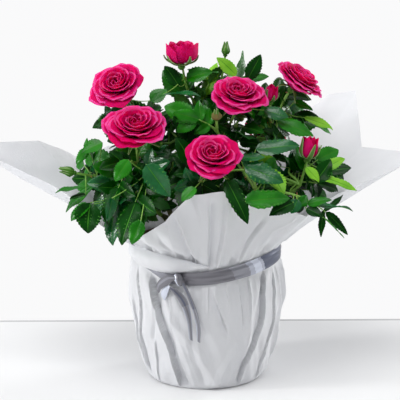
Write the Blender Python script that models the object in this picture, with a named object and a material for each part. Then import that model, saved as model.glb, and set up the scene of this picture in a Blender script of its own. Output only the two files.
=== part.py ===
"""A miniature rose bush in its pot, gift-wrapped: the pot, its soil, canes, boughs and foliage masses
with their blooms, a flared wrap of white florist's paper, and a tied satin ribbon.

Metres, +Z up. The origin is the middle of the wrap's flat underside, and -Y is the plant's front.
"""

import math
import random

import bmesh
import bpy
import numpy as np
from mathutils.bvhtree import BVHTree

MM = 0.001
GAP = 0.0003  # clearance between neighbouring solids
NUDGE = 0.00001  # moves parts that meet edge to edge, so that their union closes
# Edges under one of these are merged away: the first that leaves a closed solid.
SHORTEST_EDGES = (0.00002, 0.00001, 0.000004, 0.000001)

# ---------------------------------------------------------------- driving dimensions
POT_BASE_RADIUS = 0.0425
POT_WAIST_RADIUS = 0.0545
POT_LIP_RADIUS = 0.0580
POT_HEIGHT = 0.1110
POT_WALL = 0.0015
POT_LIP_DEPTH = 0.0120
SOIL_TOP = 0.1020
TURNED_SIDES = 36

WRAP_THICKNESS = 0.0008
WRAP_NECK_RADIUS = 0.0594
WRAP_FLOOR_RADIUS = 0.0240
COLUMN_SPACING = 8.0  # degrees, at most

RIBBON_WIDTH = 0.0130
RIBBON_THICKNESS = 0.0006
RIBBON_RADIUS = WRAP_NECK_RADIUS + 0.0010
KNOT_AZIMUTH = -112.0
KNOT_HEIGHT = 0.0930
TIE_HEIGHT = 0.1050

CANE_RADIUS = 0.0024
BOUGH_RADIUS = 0.0017
STEM_RADIUS = 0.0014
SHOOT_RADIUS = 0.0011
RACHIS_WIDTH = 0.0013
RACHIS_DEPTH = 0.0009
LEAFLET_ROOT = 0.0016  # length of rachis that a side leaflet grows from

LEAFLET_LENGTH = 0.0320
LEAFLET_WIDTH = 0.0225
LEAFLET_THICKNESS = 0.0006
RACHIS_LENGTH = 0.0220
INTERNODE = 0.0100
GOLDEN_ANGLE = math.radians(137.5)

# Colours, linear.
PAPER = (0.80, 0.81, 0.84)
SATIN = (0.30, 0.30, 0.34)
POT_BROWN = (0.16, 0.07, 0.04)
EARTH = (0.03, 0.02, 0.014)
BARK = (0.14, 0.22, 0.06)
LEAF = (0.02, 0.10, 0.012)

# ---------------------------------------------------------------- the wrap's shape
# Corners and dips of the sheet's edge, in millimetres, round from the dip beside the front flap.
SHEET_EDGE = (
    (-58, -33, 115), (-48, -60, 128), (-30, -82, 144), (-12, -90, 165), (14, -87, 168),  # front flap
    (42, -75, 159), (77, -52, 141), (102, -35, 155), (153, -10, 172), (172, 2, 181),  # right wing
    (130, 50, 177), (128, 90, 219), (106, 95, 215), (92, 95, 204),  # right back peak
    (66, 92, 176), (34, 104, 168), (0, 112, 176), (-36, 104, 166), (-84, 98, 170),  # back
    (-104, 64, 164), (-116, 32, 178), (-135, 18, 188), (-195, 0, 189),  # left wing
    (-132, -13, 163), (-116, -18, 156), (-86, -28, 131),
)
# Outer radius of the skirt at heights above the floor: full below the ribbon, drawn in at the base.
SKIRT = ((0.0455, 0.0), (0.0478, 0.0030), (0.0520, 0.0160), (0.0578, 0.0400), (0.0615, 0.0640),
         (0.0620, 0.0790))
SKIRT_FOLDS = 13
SKIRT_FOLD_DEPTH = 0.0016
COLLAR_ROWS = (0.25, 0.5, 0.75, 1.0)
EDGE = np.array(SHEET_EDGE) * MM
EDGE_AZIMUTHS = np.degrees(np.arctan2(EDGE[:, 1], EDGE[:, 0]))


def rim(azimuth):
    """(reach, height) of the sheet's edge at an azimuth in degrees: straight between its corners."""
    turn = (EDGE_AZIMUTHS - azimuth) % 360
    i = int(np.argmax(turn))
    a, b = EDGE[i], EDGE[(i + 1) % len(EDGE)]
    ray = (math.cos(math.radians(azimuth)), math.sin(math.radians(azimuth)))
    side_a, side_b = ray[0] * a[1] - ray[1] * a[0], ray[0] * b[1] - ray[1] * b[0]
    share = side_a / (side_a - side_b) if abs(side_a - side_b) > 1e-12 else 0.0
    point = a + (b - a) * share
    return math.hypot(point[0], point[1]), float(point[2])


def tie_height(azimuth):
    """Height of the ribbon's middle: level round the back, and drawn down at the knot."""
    turn = math.radians((azimuth - KNOT_AZIMUTH + 180) % 360 - 180)
    width = 1.1 if turn > 0 else 0.40
    return TIE_HEIGHT - (TIE_HEIGHT - KNOT_HEIGHT) * math.exp(-((turn / width) ** 2))


def collar(azimuth, share):
    """(radius, height) of the flared collar, from the ribbon's top edge (0) to the sheet's edge (1)."""
    reach, height = rim(azimuth)
    foot = tie_height(azimuth) + RIBBON_WIDTH / 2 + 0.001
    bend_radius = WRAP_NECK_RADIUS + 0.46 * (reach - WRAP_NECK_RADIUS)
    bend_height = foot + 0.42 * (height - foot)
    a, b, c = (1 - share) ** 2, 2 * share * (1 - share), share**2
    return a * WRAP_NECK_RADIUS + b * bend_radius + c * reach, a * foot + b * bend_height + c * height


def skirt_radius(azimuth, height):
    """Outer radius of the loose skirt, with soft folds that lean as they fall."""
    height_scale = (tie_height(azimuth) - RIBBON_WIDTH / 2) / 0.0970
    radii, heights = zip(*SKIRT)
    smooth = float(np.interp(height / height_scale, heights, radii))
    turn = math.radians(azimuth)
    lean = turn + 0.12 * math.sin(3 * turn) - 3.0 * height
    deep = math.sin(math.pi * min(1.0, max(0.0, height - 0.003) / 0.092)) ** 0.7
    return smooth + SKIRT_FOLD_DEPTH * deep * math.sin(SKIRT_FOLDS * lean)


def wrap_column(azimuth):
    """(radius, height) down one column of the sheet, from the middle of the base to its edge."""
    tie = tie_height(azimuth)
    half = RIBBON_WIDTH / 2
    height_scale = (tie - half) / 0.0970
    rows = [(WRAP_FLOOR_RADIUS, 0.0)]
    rows += [(skirt_radius(azimuth, height * height_scale), height * height_scale) for _, height in SKIRT]
    rows += [(WRAP_NECK_RADIUS, tie - half), (WRAP_NECK_RADIUS, tie + half)]
    rows += [collar(azimuth, share) for share in COLLAR_ROWS]
    return rows


def column_azimuths():
    """A column at each corner of the sheet, and even ones between them."""
    corners = sorted(float(a) for a in EDGE_AZIMUTHS)
    columns = []
    for a, b in zip(corners, corners[1:] + [corners[0] + 360]):
        parts = max(1, math.ceil((b - a) / COLUMN_SPACING))
        columns += [a + (b - a) * k / parts for k in range(parts)]
    return columns


# ---------------------------------------------------------------- the plant's plan
# Canes rooted in the soil, in millimetres: foot (x, y) and top (x, y, z).
CANES = {
    "cane_left": ((-20, -6), (-30, -8, 140)),
    "cane_front": ((4, -20), (4, -32, 138)),
    "cane_right": ((22, -2), (32, -6, 142)),
    "cane_back": ((-2, 20), (0, 28, 144)),
}
# How a shoot ends.
OPEN, HALF, PINK_BUD, GREEN_BUD, LEAFY = "open", "half_open", "pink_bud", "green_bud", "leafy"
# The foliage masses: the cane that bears each, its heart, and its shoots. A shoot is the middle of its
# bloom or the tip of its last leaf, its ending, a size (a bloom's radius or a bud's length in
# millimetres, or a last leaf's scale) and the azimuth and elevation it faces in degrees.
MASSES = {
    "mass_left_high": ("cane_left", (-48, 8, 186), (
        ((-69, -5, 236), OPEN, 22.5, (-112, 46)),
        ((-45, 30, 239), LEAFY, 1.0, (140, 58)),
        ((-84, 2, 197), LEAFY, 0.8, (175, 20)),
        ((-84, 34, 206), LEAFY, 1.0, (155, 30)),
        ((-40, -16, 226), LEAFY, 0.9, (-60, 40)))),
    "mass_left_side": ("cane_left", (-72, -16, 160), (
        ((-107, -20, 170), GREEN_BUD, 12.0, (-175, 14)),
        ((-103, -4, 180), LEAFY, 1.0, (170, 25)),
        ((-116, -25, 156), LEAFY, 0.9, (-172, -12)),
        ((-98, 26, 182), LEAFY, 1.0, (150, 20)))),
    "mass_front_left": ("cane_left", (-50, -44, 156), (
        ((-53, -55, 211), OPEN, 26.0, (-90, 56)),
        ((-92, -62, 131), LEAFY, 1.05, (-145, -48)),
        ((-73, -76, 143), LEAFY, 0.9, (-125, -55)),
        ((-52, -86, 128), LEAFY, 1.0, (-110, -62)),
        ((-78, -50, 182), LEAFY, 1.0, (-160, 0)),
        ((-34, -84, 165), LEAFY, 1.05, (-90, -30)))),
    "mass_front": ("cane_front", (-4, -56, 162), (
        ((5, -75, 192), OPEN, 24.0, (-90, 42)),
        ((-34, -76, 162), LEAFY, 0.95, (-115, -20)),
        ((-17, -95, 171), LEAFY, 0.7, (-110, -15)),
        ((32, -99, 149), LEAFY, 1.0, (-88, -30)),
        ((-22, -56, 196), LEAFY, 0.9, (-125, 30)))),
    "mass_front_right": ("cane_front", (40, -52, 158), (
        ((62, -86, 149), LEAFY, 1.05, (-55, -35)),
        ((107, -54, 126), LEAFY, 0.8, (-2, -42)),
        ((113, -48, 147), LEAFY, 0.9, (5, -6)),
        ((36, -88, 174), LEAFY, 1.1, (-75, -10)),
        ((62, -70, 184), LEAFY, 1.0, (-55, 5)))),
    "mass_centre": ("cane_front", (12, -24, 192), (
        ((25, -30, 232), OPEN, 23.5, (-80, 62)),
        ((8, -52, 219), GREEN_BUD, 9.0, (-90, 70)),
        ((-26, -40, 212), LEAFY, 1.0, (-120, 30)),
        ((-16, -14, 234), LEAFY, 1.0, (165, 50)),
        ((40, -52, 206), LEAFY, 0.9, (-65, 15)))),
    "mass_right_side": ("cane_right", (74, -24, 160), (
        ((80, -30, 189), PINK_BUD, 22.0, (-40, 78)),
        ((108, -20, 182), LEAFY, 1.0, (-15, 22)),
        ((118, -30, 159), LEAFY, 1.0, (-20, -12)),
        ((96, 10, 176), LEAFY, 1.0, (20, 5)))),
    "mass_right_high": ("cane_right", (54, 6, 190), (
        ((73, 0, 240), OPEN, 22.5, (-22, 50)),
        ((51, -10, 229), PINK_BUD, 16.0, (-60, 80)),
        ((103, 8, 198), LEAFY, 1.0, (-6, -14)),
        ((86, 16, 216), LEAFY, 0.9, (0, -5)),
        ((66, -48, 198), LEAFY, 1.05, (-65, 5)),
        ((58, 50, 232), LEAFY, 1.0, (55, 50)),
        ((92, 44, 200), LEAFY, 1.0, (25, 10)))),
    "mass_top": ("cane_back", (2, 18, 194), (
        ((-19, -5, 262), HALF, 13.8, (-100, 86)),
        ((16, 20, 261), GREEN_BUD, 11.0, (0, 86)),
        ((-31, 12, 249), LEAFY, 0.9, (165, 55)),
        ((-12, 30, 250), LEAFY, 1.0, (100, 62)),
        ((41, 18, 257), LEAFY, 1.0, (10, 66)),
        ((24, 46, 244), LEAFY, 0.9, (70, 48)))),
    "mass_back_left": ("cane_back", (-44, 50, 166), (
        ((-58, 58, 196), OPEN, 22.0, (130, 48)),
        ((-48, 92, 168), LEAFY, 1.0, (115, -10)),
        ((-86, 62, 172), LEAFY, 1.0, (148, -5)),
        ((-34, 62, 224), LEAFY, 1.0, (115, 45)))),
    "mass_back": ("cane_back", (0, 60, 176), (
        ((30, 74, 208), HALF, 13.0, (90, 66)),
        ((-16, 101, 170), LEAFY, 1.0, (100, -15)),
        ((24, 102, 180), LEAFY, 1.0, (78, 0)),
        ((6, 58, 238), LEAFY, 1.0, (90, 55)))),
    "mass_back_right": ("cane_back", (44, 54, 168), (
        ((50, 58, 188), OPEN, 21.0, (55, 50)),
        ((86, 62, 172), LEAFY, 1.0, (35, -5)),
        ((42, 96, 164), LEAFY, 1.0, (70, -15)))),
}
CROWN_MIDDLE = np.array([0.0, 0.0, 0.160])
CROWN_REACH = np.array([0.109, 0.104, 0.094])
CROWN_DROP = 0.046  # how far the crown falls below its middle
CELL_MARGIN = 0.0009
LIMB_MARGIN = 0.0018
WRAP_MARGIN = 0.0030
LEAF_SPACING = 0.0026
LEAF_TRIES = 27
BLOOM_DEPTH = {OPEN: 0.60, HALF: 0.78, PINK_BUD: 0.55, GREEN_BUD: 0.55}  # half height by size
BLOOM_GIRTH = {OPEN: 1.0, HALF: 1.0, PINK_BUD: 0.34, GREEN_BUD: 0.34}  # half width by size
BLOOM_SINK = {OPEN: 0.34, HALF: 0.55, PINK_BUD: 0.38, GREEN_BUD: 0.38}  # from its middle to its stalk
SPAN_OF_LEAF = RACHIS_LENGTH * 1.1 + LEAFLET_LENGTH
NECK_SHARE = 0.35  # where a bough ends, from its cane towards the mass's heart
SAMPLES_ALONG = (0.08, 0.3, 0.55, 0.8, 1.0)
SAMPLES_ACROSS = (-0.8, 0.0, 0.8)
UP = np.array([0.0, 0.0, 1.0])
FLAT = np.array([1.0, 1.0, 0.0])
LIGHT = np.array([0.0, -0.65, 0.0])  # leaves turn a little to the plant's front


def unit(vector):
    vector = np.asarray(vector, float)
    return vector / max(1e-9, float(np.linalg.norm(vector)))


def facing(azimuth, elevation):
    a, e = math.radians(azimuth), math.radians(elevation)
    return np.array([math.cos(a) * math.cos(e), math.sin(a) * math.cos(e), math.sin(e)])


def curve(start, start_way, end, end_way, steps):
    """Points along a smooth limb that leaves its start and reaches its end in the given directions."""
    start, end = np.array(start, float), np.array(end, float)
    pull = 0.36 * float(np.linalg.norm(end - start))
    first, second = start + unit(start_way) * pull, end - unit(end_way) * pull
    points = []
    for i in range(steps + 1):
        t = i / steps
        a, b, c, d = (1 - t) ** 3, 3 * t * (1 - t) ** 2, 3 * t * t * (1 - t), t**3
        points.append(a * start + b * first + c * second + d * end)
    return points


class Leaflet:
    """One leaflet: folded along its midrib, drooping to its tip, its face turned up and outward."""

    def __init__(self, base, way, outward, roll, length, width, fold, droop):
        self.base, self.length, self.width, self.fold, self.droop = base, length, width, fold, droop
        self.along = unit(way)
        look = unit(0.3 * UP + 0.35 * outward + 0.8 * unit(outward * FLAT) + LIGHT)
        normal = unit(look - self.along * float(look @ self.along))
        across = np.cross(normal, self.along)
        self.across = across * math.cos(roll) + normal * math.sin(roll)
        self.normal = normal * math.cos(roll) - across * math.sin(roll)

    def point(self, along, across):
        half = 0.5 * self.width * math.sin(math.pi * min(1.0, along**0.8)) * across
        lift = abs(half) * self.fold - self.droop * self.length * along**2
        return self.base + self.along * (self.length * along) + self.across * half + self.normal * lift

    def samples(self):
        return np.array([self.point(a, b) for a in SAMPLES_ALONG for b in SAMPLES_ACROSS])


class Leaf:
    """A rose leaf: a rachis, a leaflet at its end and pairs of smaller ones down its sides."""

    def __init__(self, base, way, outward, scale, pairs, rng):
        way = unit(way)
        self.length = RACHIS_LENGTH * scale * (0.8 + 0.2 * pairs)
        self.base = base
        self.middle = base + way * self.length * 0.5
        self.end = self.middle + unit(way - UP * 0.16) * self.length * 0.5
        self.outward, self.roll, self.scale = outward, rng.uniform(-0.45, 0.45), scale
        self.leaflets = []  # (share of the rachis, hand, leaflet); the last one's hand is 0
        self.add(1.0, 0, self.end - self.middle - UP * 0.06 * self.length, 1.0, rng)
        self.side, self.normal = self.leaflets[0][2].across, self.leaflets[0][2].normal
        for k in range(pairs):
            for hand in (-1, 1):
                spread = rng.uniform(1.02, 1.2)
                side_way = way * math.cos(spread) + self.side * hand * math.sin(spread)
                self.add(0.9 - 0.46 * k, hand, side_way, 0.76 - 0.14 * k, rng)

    def at(self, share):
        near, far = min(1.0, 2 * share), max(0.0, 2 * share - 1)
        return self.base + (self.middle - self.base) * near + (self.end - self.middle) * far

    def add(self, share, hand, way, size, rng):
        size *= self.scale
        leaflet = Leaflet(self.at(share), way, self.outward, self.roll + rng.uniform(-0.15, 0.15),
                          LEAFLET_LENGTH * size * rng.uniform(0.92, 1.06),
                          LEAFLET_WIDTH * size * rng.uniform(0.9, 1.04),
                          rng.uniform(0.16, 0.45), rng.uniform(0.04, 0.18))
        self.leaflets.append((share, hand, leaflet))


def tube(points, radii, sides):
    """A closed limb round a line of points, its ends cut square."""
    points = [np.array(p, float) for p in points]
    verts, faces = [], []
    across = None
    for i, point in enumerate(points):
        way = unit(points[min(i + 1, len(points) - 1)] - points[max(i - 1, 0)])
        first = across is None
        across = unit(np.cross(way, (0.31, 0.17, 0.94)) if first else across - way * float(across @ way))
        third = np.cross(way, across)
        for k in range(sides):
            turn = 2 * math.pi * k / sides
            verts.append(point + (across * math.cos(turn) + third * math.sin(turn)) * radii[i])
    for i in range(len(points) - 1):
        for k in range(sides):
            a, b = i * sides + k, i * sides + (k + 1) % sides
            faces.append((a, b, b + sides, a + sides))
    faces.append(tuple(range(sides))[::-1])
    faces.append(tuple(range(len(verts) - sides, len(verts))))
    return verts, faces


def tapered(points, first, last, sides):
    count = len(points) - 1
    return tube(points, [first + (last - first) * i / count for i in range(count + 1)], sides)


def cane_solid(points):
    return tapered(points, CANE_RADIUS, CANE_RADIUS * 0.85, 7)


def bough_solid(points):
    return tapered(points, BOUGH_RADIUS, STEM_RADIUS, 5)


def clearance(solid, other):
    """The least distance from points along the edges of one solid to the faces of the other."""
    verts, faces = solid
    tree = BVHTree.FromPolygons([tuple(v) for v in other[0]], other[1])
    least = 1.0
    for face in faces:
        for k in range(len(face)):
            start, end = verts[face[k - 1]], verts[face[k]]
            for share in (0.0, 0.2, 0.4, 0.6, 0.8):
                least = min(least, tree.find_nearest(tuple(start + (end - start) * share))[3])
    return least


class Plan:
    """Where every limb, leaf and bloom is. Each mass draws from its own seed, so it never changes."""

    def __init__(self):
        self.canes, self.boughs, self.stems, self.shoots, self.leaves = {}, {}, {}, {}, {}
        self.names = list(MASSES)
        self.segments = []  # (owner, start, end, radius)
        self.blooms = []  # (owner, middle, facing, ending, size)
        self.guides = []  # (owner, point): a mass keeps to the places nearest its own guides
        self.taken = np.zeros((0, 3))
        self.lay_out_limbs()
        self.gather()
        for name in self.names:
            self.leaves[name] = self.grow_leaves(name)

    def add_limb(self, owner, points, radius):
        self.segments += [(owner, a, b, radius) for a, b in zip(points, points[1:])]

    def lay_out_limbs(self):
        borne = dict.fromkeys(CANES, 0)
        high_first = sorted(MASSES, key=lambda name: -MASSES[name][1][2])
        for name, (foot, top) in CANES.items():
            foot, top = np.array([*foot, 0]) * MM, np.array(top) * MM
            foot[2] = SOIL_TOP + 2 * GAP
            self.canes[name] = curve(foot, UP, top, top - foot, 3)
            self.add_limb(name, self.canes[name], CANE_RADIUS)
        for name in high_first:
            cane, heart, shoots = MASSES[name]
            points, heart = self.canes[cane], np.array(heart) * MM
            order = borne[cane]
            borne[cane] += 1
            lean = unit(points[-1] - points[-2])
            out = heart - points[-1]
            flat = unit(out - lean * float(out @ lean))
            top = points[-1] - lean * (0.003 + 0.0062 * order)
            reach = CANE_RADIUS + BOUGH_RADIUS
            for _ in range(5):
                root = top + flat * reach
                neck = root + (heart - root) * NECK_SHARE
                out = unit(heart - root)
                self.boughs[name] = curve(root, flat + lean * 0.7, neck, out, 2)
                apart = clearance(bough_solid(self.boughs[name]), cane_solid(points))
                reach -= 0.9 * (apart - 1.3 * GAP)
            self.add_limb("bough of " + name, self.boughs[name], BOUGH_RADIUS)
            self.stems[name] = curve(neck + out * GAP, out, heart, out + UP * 0.4, 3)
            self.add_limb(name, self.stems[name], STEM_RADIUS)
            self.guides += [(name, p) for p in self.stems[name][1:]]
            self.shoots[name] = []
            for tip, ending, size, (azimuth, elevation) in shoots:
                self.lay_out_shoot(name, heart, np.array(tip) * MM, ending, size, facing(azimuth, elevation))

    def lay_out_shoot(self, name, heart, tip, ending, size, look):
        if ending == LEAFY:
            reach = tip - look * SPAN_OF_LEAF * size
            bend = unit(reach - heart) + look
        else:
            size *= MM
            reach = tip - look * size * BLOOM_SINK[ending]
            bend = look
            self.blooms.append((name, tip, look, ending, size))
            self.guides.append((name, tip))
        points = curve(heart, unit(reach - heart) + UP * 0.35, reach, bend, 3)
        self.shoots[name].append((points, ending, size, look))
        self.add_limb(name, points, SHOOT_RADIUS)
        self.guides += [(name, p) for p in points[1:]]
        if ending == LEAFY:
            self.guides += [(name, reach + (tip - reach) * share) for share in (0.4, 0.8)]

    def gather(self):
        """The same limbs, blooms and guides as arrays."""
        number = {name: i for i, name in enumerate(self.names)}
        self.limb_owner = np.array([number.get(s[0], -1) for s in self.segments])
        self.limb_start = np.array([s[1] for s in self.segments])
        self.limb_along = np.array([s[2] for s in self.segments]) - self.limb_start
        self.limb_radius = np.array([s[3] for s in self.segments])
        self.limb_square = np.maximum(1e-12, (self.limb_along**2).sum(1))
        self.bloom_middle = np.array([b[1] for b in self.blooms])
        self.bloom_look = np.array([b[2] for b in self.blooms])
        self.bloom_girth = np.array([b[4] * BLOOM_GIRTH[b[3]] for b in self.blooms]) + 0.0012
        self.bloom_depth = np.array([b[4] * BLOOM_DEPTH[b[3]] for b in self.blooms]) + 0.0012
        self.guide_owner = np.array([number[g[0]] for g in self.guides])
        self.guide_point = np.array([g[1] for g in self.guides])
        self.floor_radii = np.linspace(0.0, 0.20, 81)
        self.floors = {}  # lowest heights by azimuth and radius, for leaves that may hang over the sheet
        for hangs in (True, False):
            lines = []
            for azimuth in range(-180, 180, 3):
                radii, heights = zip(*(collar(azimuth, s) for s in np.linspace(0, 1, 9)))
                line = np.interp(self.floor_radii, radii, heights)
                line[self.floor_radii < WRAP_NECK_RADIUS - 0.004] = POT_HEIGHT
                line[self.floor_radii > radii[-1] + 0.004] = -1.0 if hangs else heights[-1] - 0.006
                lines.append(line)
            self.floors[hangs] = np.array(lines)

    def in_crown(self, points):
        away = points - CROWN_MIDDLE
        reach = np.where(away[:, 2:] < 0, [*CROWN_REACH[:2], CROWN_DROP], CROWN_REACH)
        return bool((((away / reach) ** 2).sum(1) < 1).all())

    def in_cell(self, owner, points):
        apart = np.linalg.norm(points[:, None] - self.guide_point[None], axis=2)
        mine = self.guide_owner == owner
        return bool((apart[:, mine].min(1) + CELL_MARGIN < apart[:, ~mine].min(1)).all())

    def clear_of_limbs(self, owner, points, base, shy):
        away = points[:, None] - self.limb_start[None]
        t = np.clip((away * self.limb_along).sum(2) / self.limb_square, 0, 1)
        apart = np.linalg.norm(away - t[:, :, None] * self.limb_along, axis=2) - self.limb_radius
        mine = self.limb_owner == owner
        if apart[:, ~mine].min() < LIMB_MARGIN:
            return False
        far = np.linalg.norm(points - base, axis=1) > shy
        return not far.any() or apart[far][:, mine].min() > 0.0006

    def clear_of_blooms(self, points):
        away = points[:, None] - self.bloom_middle[None]
        up = (away * self.bloom_look).sum(2)
        flat = np.linalg.norm(away - up[:, :, None] * self.bloom_look, axis=2)
        return bool(((flat / self.bloom_girth) ** 2 + (up / self.bloom_depth) ** 2 > 1).all())

    def clear_of_wrap(self, points, hangs):
        radius = np.hypot(points[:, 0], points[:, 1])
        turn = np.round(np.degrees(np.arctan2(points[:, 1], points[:, 0])) / 3).astype(int)
        for shift in (-0.003, 0.0, 0.0045):
            step = np.clip(np.round((radius + shift) / 0.0025).astype(int), 0, 80)
            for spin in (-1, 0, 1):
                if (points[:, 2] < self.floors[hangs][(turn + 60 + spin) % 120, step] + WRAP_MARGIN).any():
                    return False
        return True

    def crowding(self, points):
        near = self.taken[np.abs(self.taken - points.mean(0)).max(1) < 0.035]
        if not len(near):
            return 0
        return int((np.linalg.norm(points[:, None] - near[None], axis=2).min(1) < LEAF_SPACING).sum())

    def try_leaf(self, owner, base, way, outward, scale, pairs, free, rng):
        """A leaf less the leaflets that have no room, or None."""
        leaf = Leaf(base, way, outward, scale, pairs, rng)
        line = np.array([leaf.at(share) for share in (0.25, 0.5, 0.75, 1.0)])
        if not (free or self.in_crown(line)) or not self.clear_of_wrap(line, free):
            return None
        if not self.in_cell(owner, line):
            return None
        if not self.clear_of_blooms(line) or not self.clear_of_limbs(owner, line, base, 0.005):
            return None
        kept, places = [], []
        for share, hand, leaflet in leaf.leaflets:
            points = leaflet.samples()
            if not (free or self.in_crown(points)) or not self.clear_of_wrap(points, free):
                continue
            if not self.in_cell(owner, points) or not self.clear_of_blooms(points):
                continue
            if not self.clear_of_limbs(owner, points, base, 0.008) or self.crowding(points) > 0:
                continue
            kept.append((share, hand, leaflet))
            places.append(points)
        leaf.leaflets = kept
        leaf.places = np.concatenate(places) if places else None
        whole = len(kept) >= 2 and kept[0][1] == 0
        return leaf if whole else None

    def grow_leaves(self, name):
        """Leaves up each limb of the mass, a golden angle apart, each turned until it finds room."""
        owner = self.names.index(name)
        found = []
        ends = [(points, ending, size, look) for points, ending, size, look in self.shoots[name]]
        for number, (points, ending, size, look) in enumerate(ends):
            if ending == LEAFY:
                found += self.grow_leaf(owner, number, 0, points[-1], look, look, size, True)
        limbs = [(self.stems[name], LEAFY, 0.4)] + [(points, ending, 0.12) for points, ending, _, _ in ends]
        for number, (points, ending, first) in enumerate(limbs):
            points = np.array(points)
            along = np.concatenate([[0], np.cumsum(np.linalg.norm(np.diff(points, axis=0), axis=1))])
            bare = 0.006 if ending == LEAFY else 0.009
            for k, at in enumerate(np.arange(first * along[-1], along[-1] - bare, INTERNODE)):
                here, ahead = (np.array([np.interp(s, along, points[:, i]) for i in range(3)])
                               for s in (at, at + 0.004))
                found += self.grow_leaf(owner, number, k + 1, here, ahead - here, None, 1.0, False)
        return found

    def grow_leaf(self, owner, number, place, base, tangent, way, size, free):
        """A list of the one leaf that finds most room here, or an empty one."""
        tangent = unit(tangent)
        side = unit(np.cross(tangent, np.array([0.3, 0.2, 1.0])))
        lift = np.cross(side, tangent)
        best = None
        for attempt in range(LEAF_TRIES):
            draw = random.Random(100000 * owner + 1000 * number + 30 * place + attempt)
            turn = GOLDEN_ANGLE * (place + number) + attempt * math.radians(40)
            ray = side * math.cos(turn) + lift * math.sin(turn)
            spread = draw.uniform(0.75, 1.15)
            if free:
                heading = way + ray * 0.04 * attempt
            else:
                heading = tangent * math.cos(spread) + ray * math.sin(spread)
            outward = unit(base - CROWN_MIDDLE + np.array([0.0, 0.0, 0.02]) + unit(heading) * 0.02)
            if not free:
                level = 1 - max(0.0, outward[2])
                heading = heading - outward * max(0.0, float(unit(heading) @ outward)) * 0.6 * level
                heading = heading - UP * 0.3 * level
            scale = size if free else draw.uniform(0.86, 1.06) * (1.0, 0.8, 0.66)[attempt // 9]
            pairs = 1 if attempt // 9 == 2 else 2
            leaf = self.try_leaf(owner, base, heading, outward, scale, pairs, free, draw)
            if leaf and (best is None or len(leaf.leaflets) > len(best.leaflets)):
                best = leaf
            if best and len(best.leaflets) >= 5:
                break
        if best is None:
            return []
        self.taken = np.concatenate([self.taken, best.places])
        return [best]


# ---------------------------------------------------------------- solids
def material(name, colour, roughness=0.6):
    made = bpy.data.materials.new(name)
    made.use_nodes = True
    shader = made.node_tree.nodes["Principled BSDF"]
    shader.inputs["Base Color"].default_value = (*colour, 1.0)
    shader.inputs["Roughness"].default_value = roughness
    made.diffuse_color = (*colour, 1.0)
    return made


def add_object(name, verts, faces, colour=None, roughness=0.6, smooth=False, collection=None):
    mesh = bpy.data.meshes.new(name)
    mesh.from_pydata([tuple(map(float, v)) for v in verts], [], faces)
    bm = bmesh.new()
    bm.from_mesh(mesh)
    bmesh.ops.recalc_face_normals(bm, faces=bm.faces)
    bm.to_mesh(mesh)
    bm.free()
    mesh.validate()
    for polygon in mesh.polygons:
        polygon.use_smooth = smooth
    if colour:
        mesh.materials.append(material(name, colour, roughness))
    made = bpy.data.objects.new(name, mesh)
    (collection or bpy.context.scene.collection).objects.link(made)
    return made


def lathe(profile, sides, scallop=None):
    """A closed turned solid from (radius, height) pairs that start and end on the axis."""
    verts, faces, rings = [], [], []
    for k, (radius, height) in enumerate(profile):
        if radius == 0:
            rings.append([len(verts)])
            verts.append((0.0, 0.0, height))
            continue
        rings.append(list(range(len(verts), len(verts) + sides)))
        for i in range(sides):
            turn = 2 * math.pi * i / sides
            wide = radius * (1 + scallop(k, i) if scallop else 1)
            verts.append((wide * math.cos(turn), wide * math.sin(turn), height))
    for low, high in zip(rings, rings[1:]):
        for i in range(sides):
            j = (i + 1) % sides
            if len(low) == 1:
                faces.append((low[0], high[j], high[i]))
            elif len(high) == 1:
                faces.append((low[i], low[j], high[0]))
            else:
                faces.append((low[i], low[j], high[j], high[i]))
    return verts, faces


def blade_faces(verts, leaflet, root, up):
    """Adds a knife-edged leaflet on a four-sided root (two upper corners, then the two below them)."""
    a, b = leaflet.point(0.42, -1.05), leaflet.point(0.42, 1.05)
    if np.linalg.norm(a - verts[root[0]]) > np.linalg.norm(b - verts[root[0]]):
        a, b = b, a
    half = leaflet.normal * LEAFLET_THICKNESS / 2 * (1 if float(up @ leaflet.normal) > 0 else -1)
    middle = leaflet.point(0.45, 0.0)
    first = len(verts)
    verts += [a, b, leaflet.point(1, 0), middle + half, middle - half]
    left, right, tip, top, under = range(first, first + 5)
    u1, u2, d2, d1 = root
    ring = [u1, u2, right, tip, left]
    faces = [(p, q, top) for p, q in zip(ring, ring[1:] + ring[:1])]
    ring = [d1, d2, right, tip, left]
    faces += [(q, p, under) for p, q in zip(ring, ring[1:] + ring[:1])]
    return faces + [(u1, left, d1), (u2, d2, right)]


def leaf_solid(leaf):
    """A whole leaf as one closed solid: a rachis of four sides, with each leaflet grown out of a side."""
    step = LEAFLET_ROOT / leaf.length / 2
    nodes = sorted({share for share, hand, _ in leaf.leaflets if hand})
    stops = [0.0] + [share + shift for share in nodes for shift in (-step, step)] + [1.0]
    verts, faces = [], []
    side, up = leaf.side * RACHIS_WIDTH / 2, leaf.normal * RACHIS_DEPTH / 2
    for stop in stops:
        verts += [leaf.at(stop) + a * side + b * up for a, b in ((-1, 1), (1, 1), (1, -1), (-1, -1))]
    borne = {(share, hand): leaflet for share, hand, leaflet in leaf.leaflets}
    for i in range(len(stops) - 1):
        here, there = 4 * i, 4 * i + 4
        node = next((share for share in nodes if abs(share - step - stops[i]) < 1e-9), None)
        faces.append((here, here + 1, there + 1, there))
        faces.append((here + 3, there + 3, there + 2, here + 2))
        for hand, upper, lower in ((-1, 0, 3), (1, 1, 2)):
            root = (here + upper, there + upper, there + lower, here + lower)
            leaflet = borne.get((node, hand))
            faces += blade_faces(verts, leaflet, root, leaf.normal) if leaflet else [root]
    faces.append((0, 1, 2, 3))
    last = len(stops) * 4 - 4
    end = (last, last + 1, last + 2, last + 3)
    leaflet = borne.get((1.0, 0))
    faces += blade_faces(verts, leaflet, end, leaf.normal) if leaflet else [end]
    return verts, faces


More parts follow.
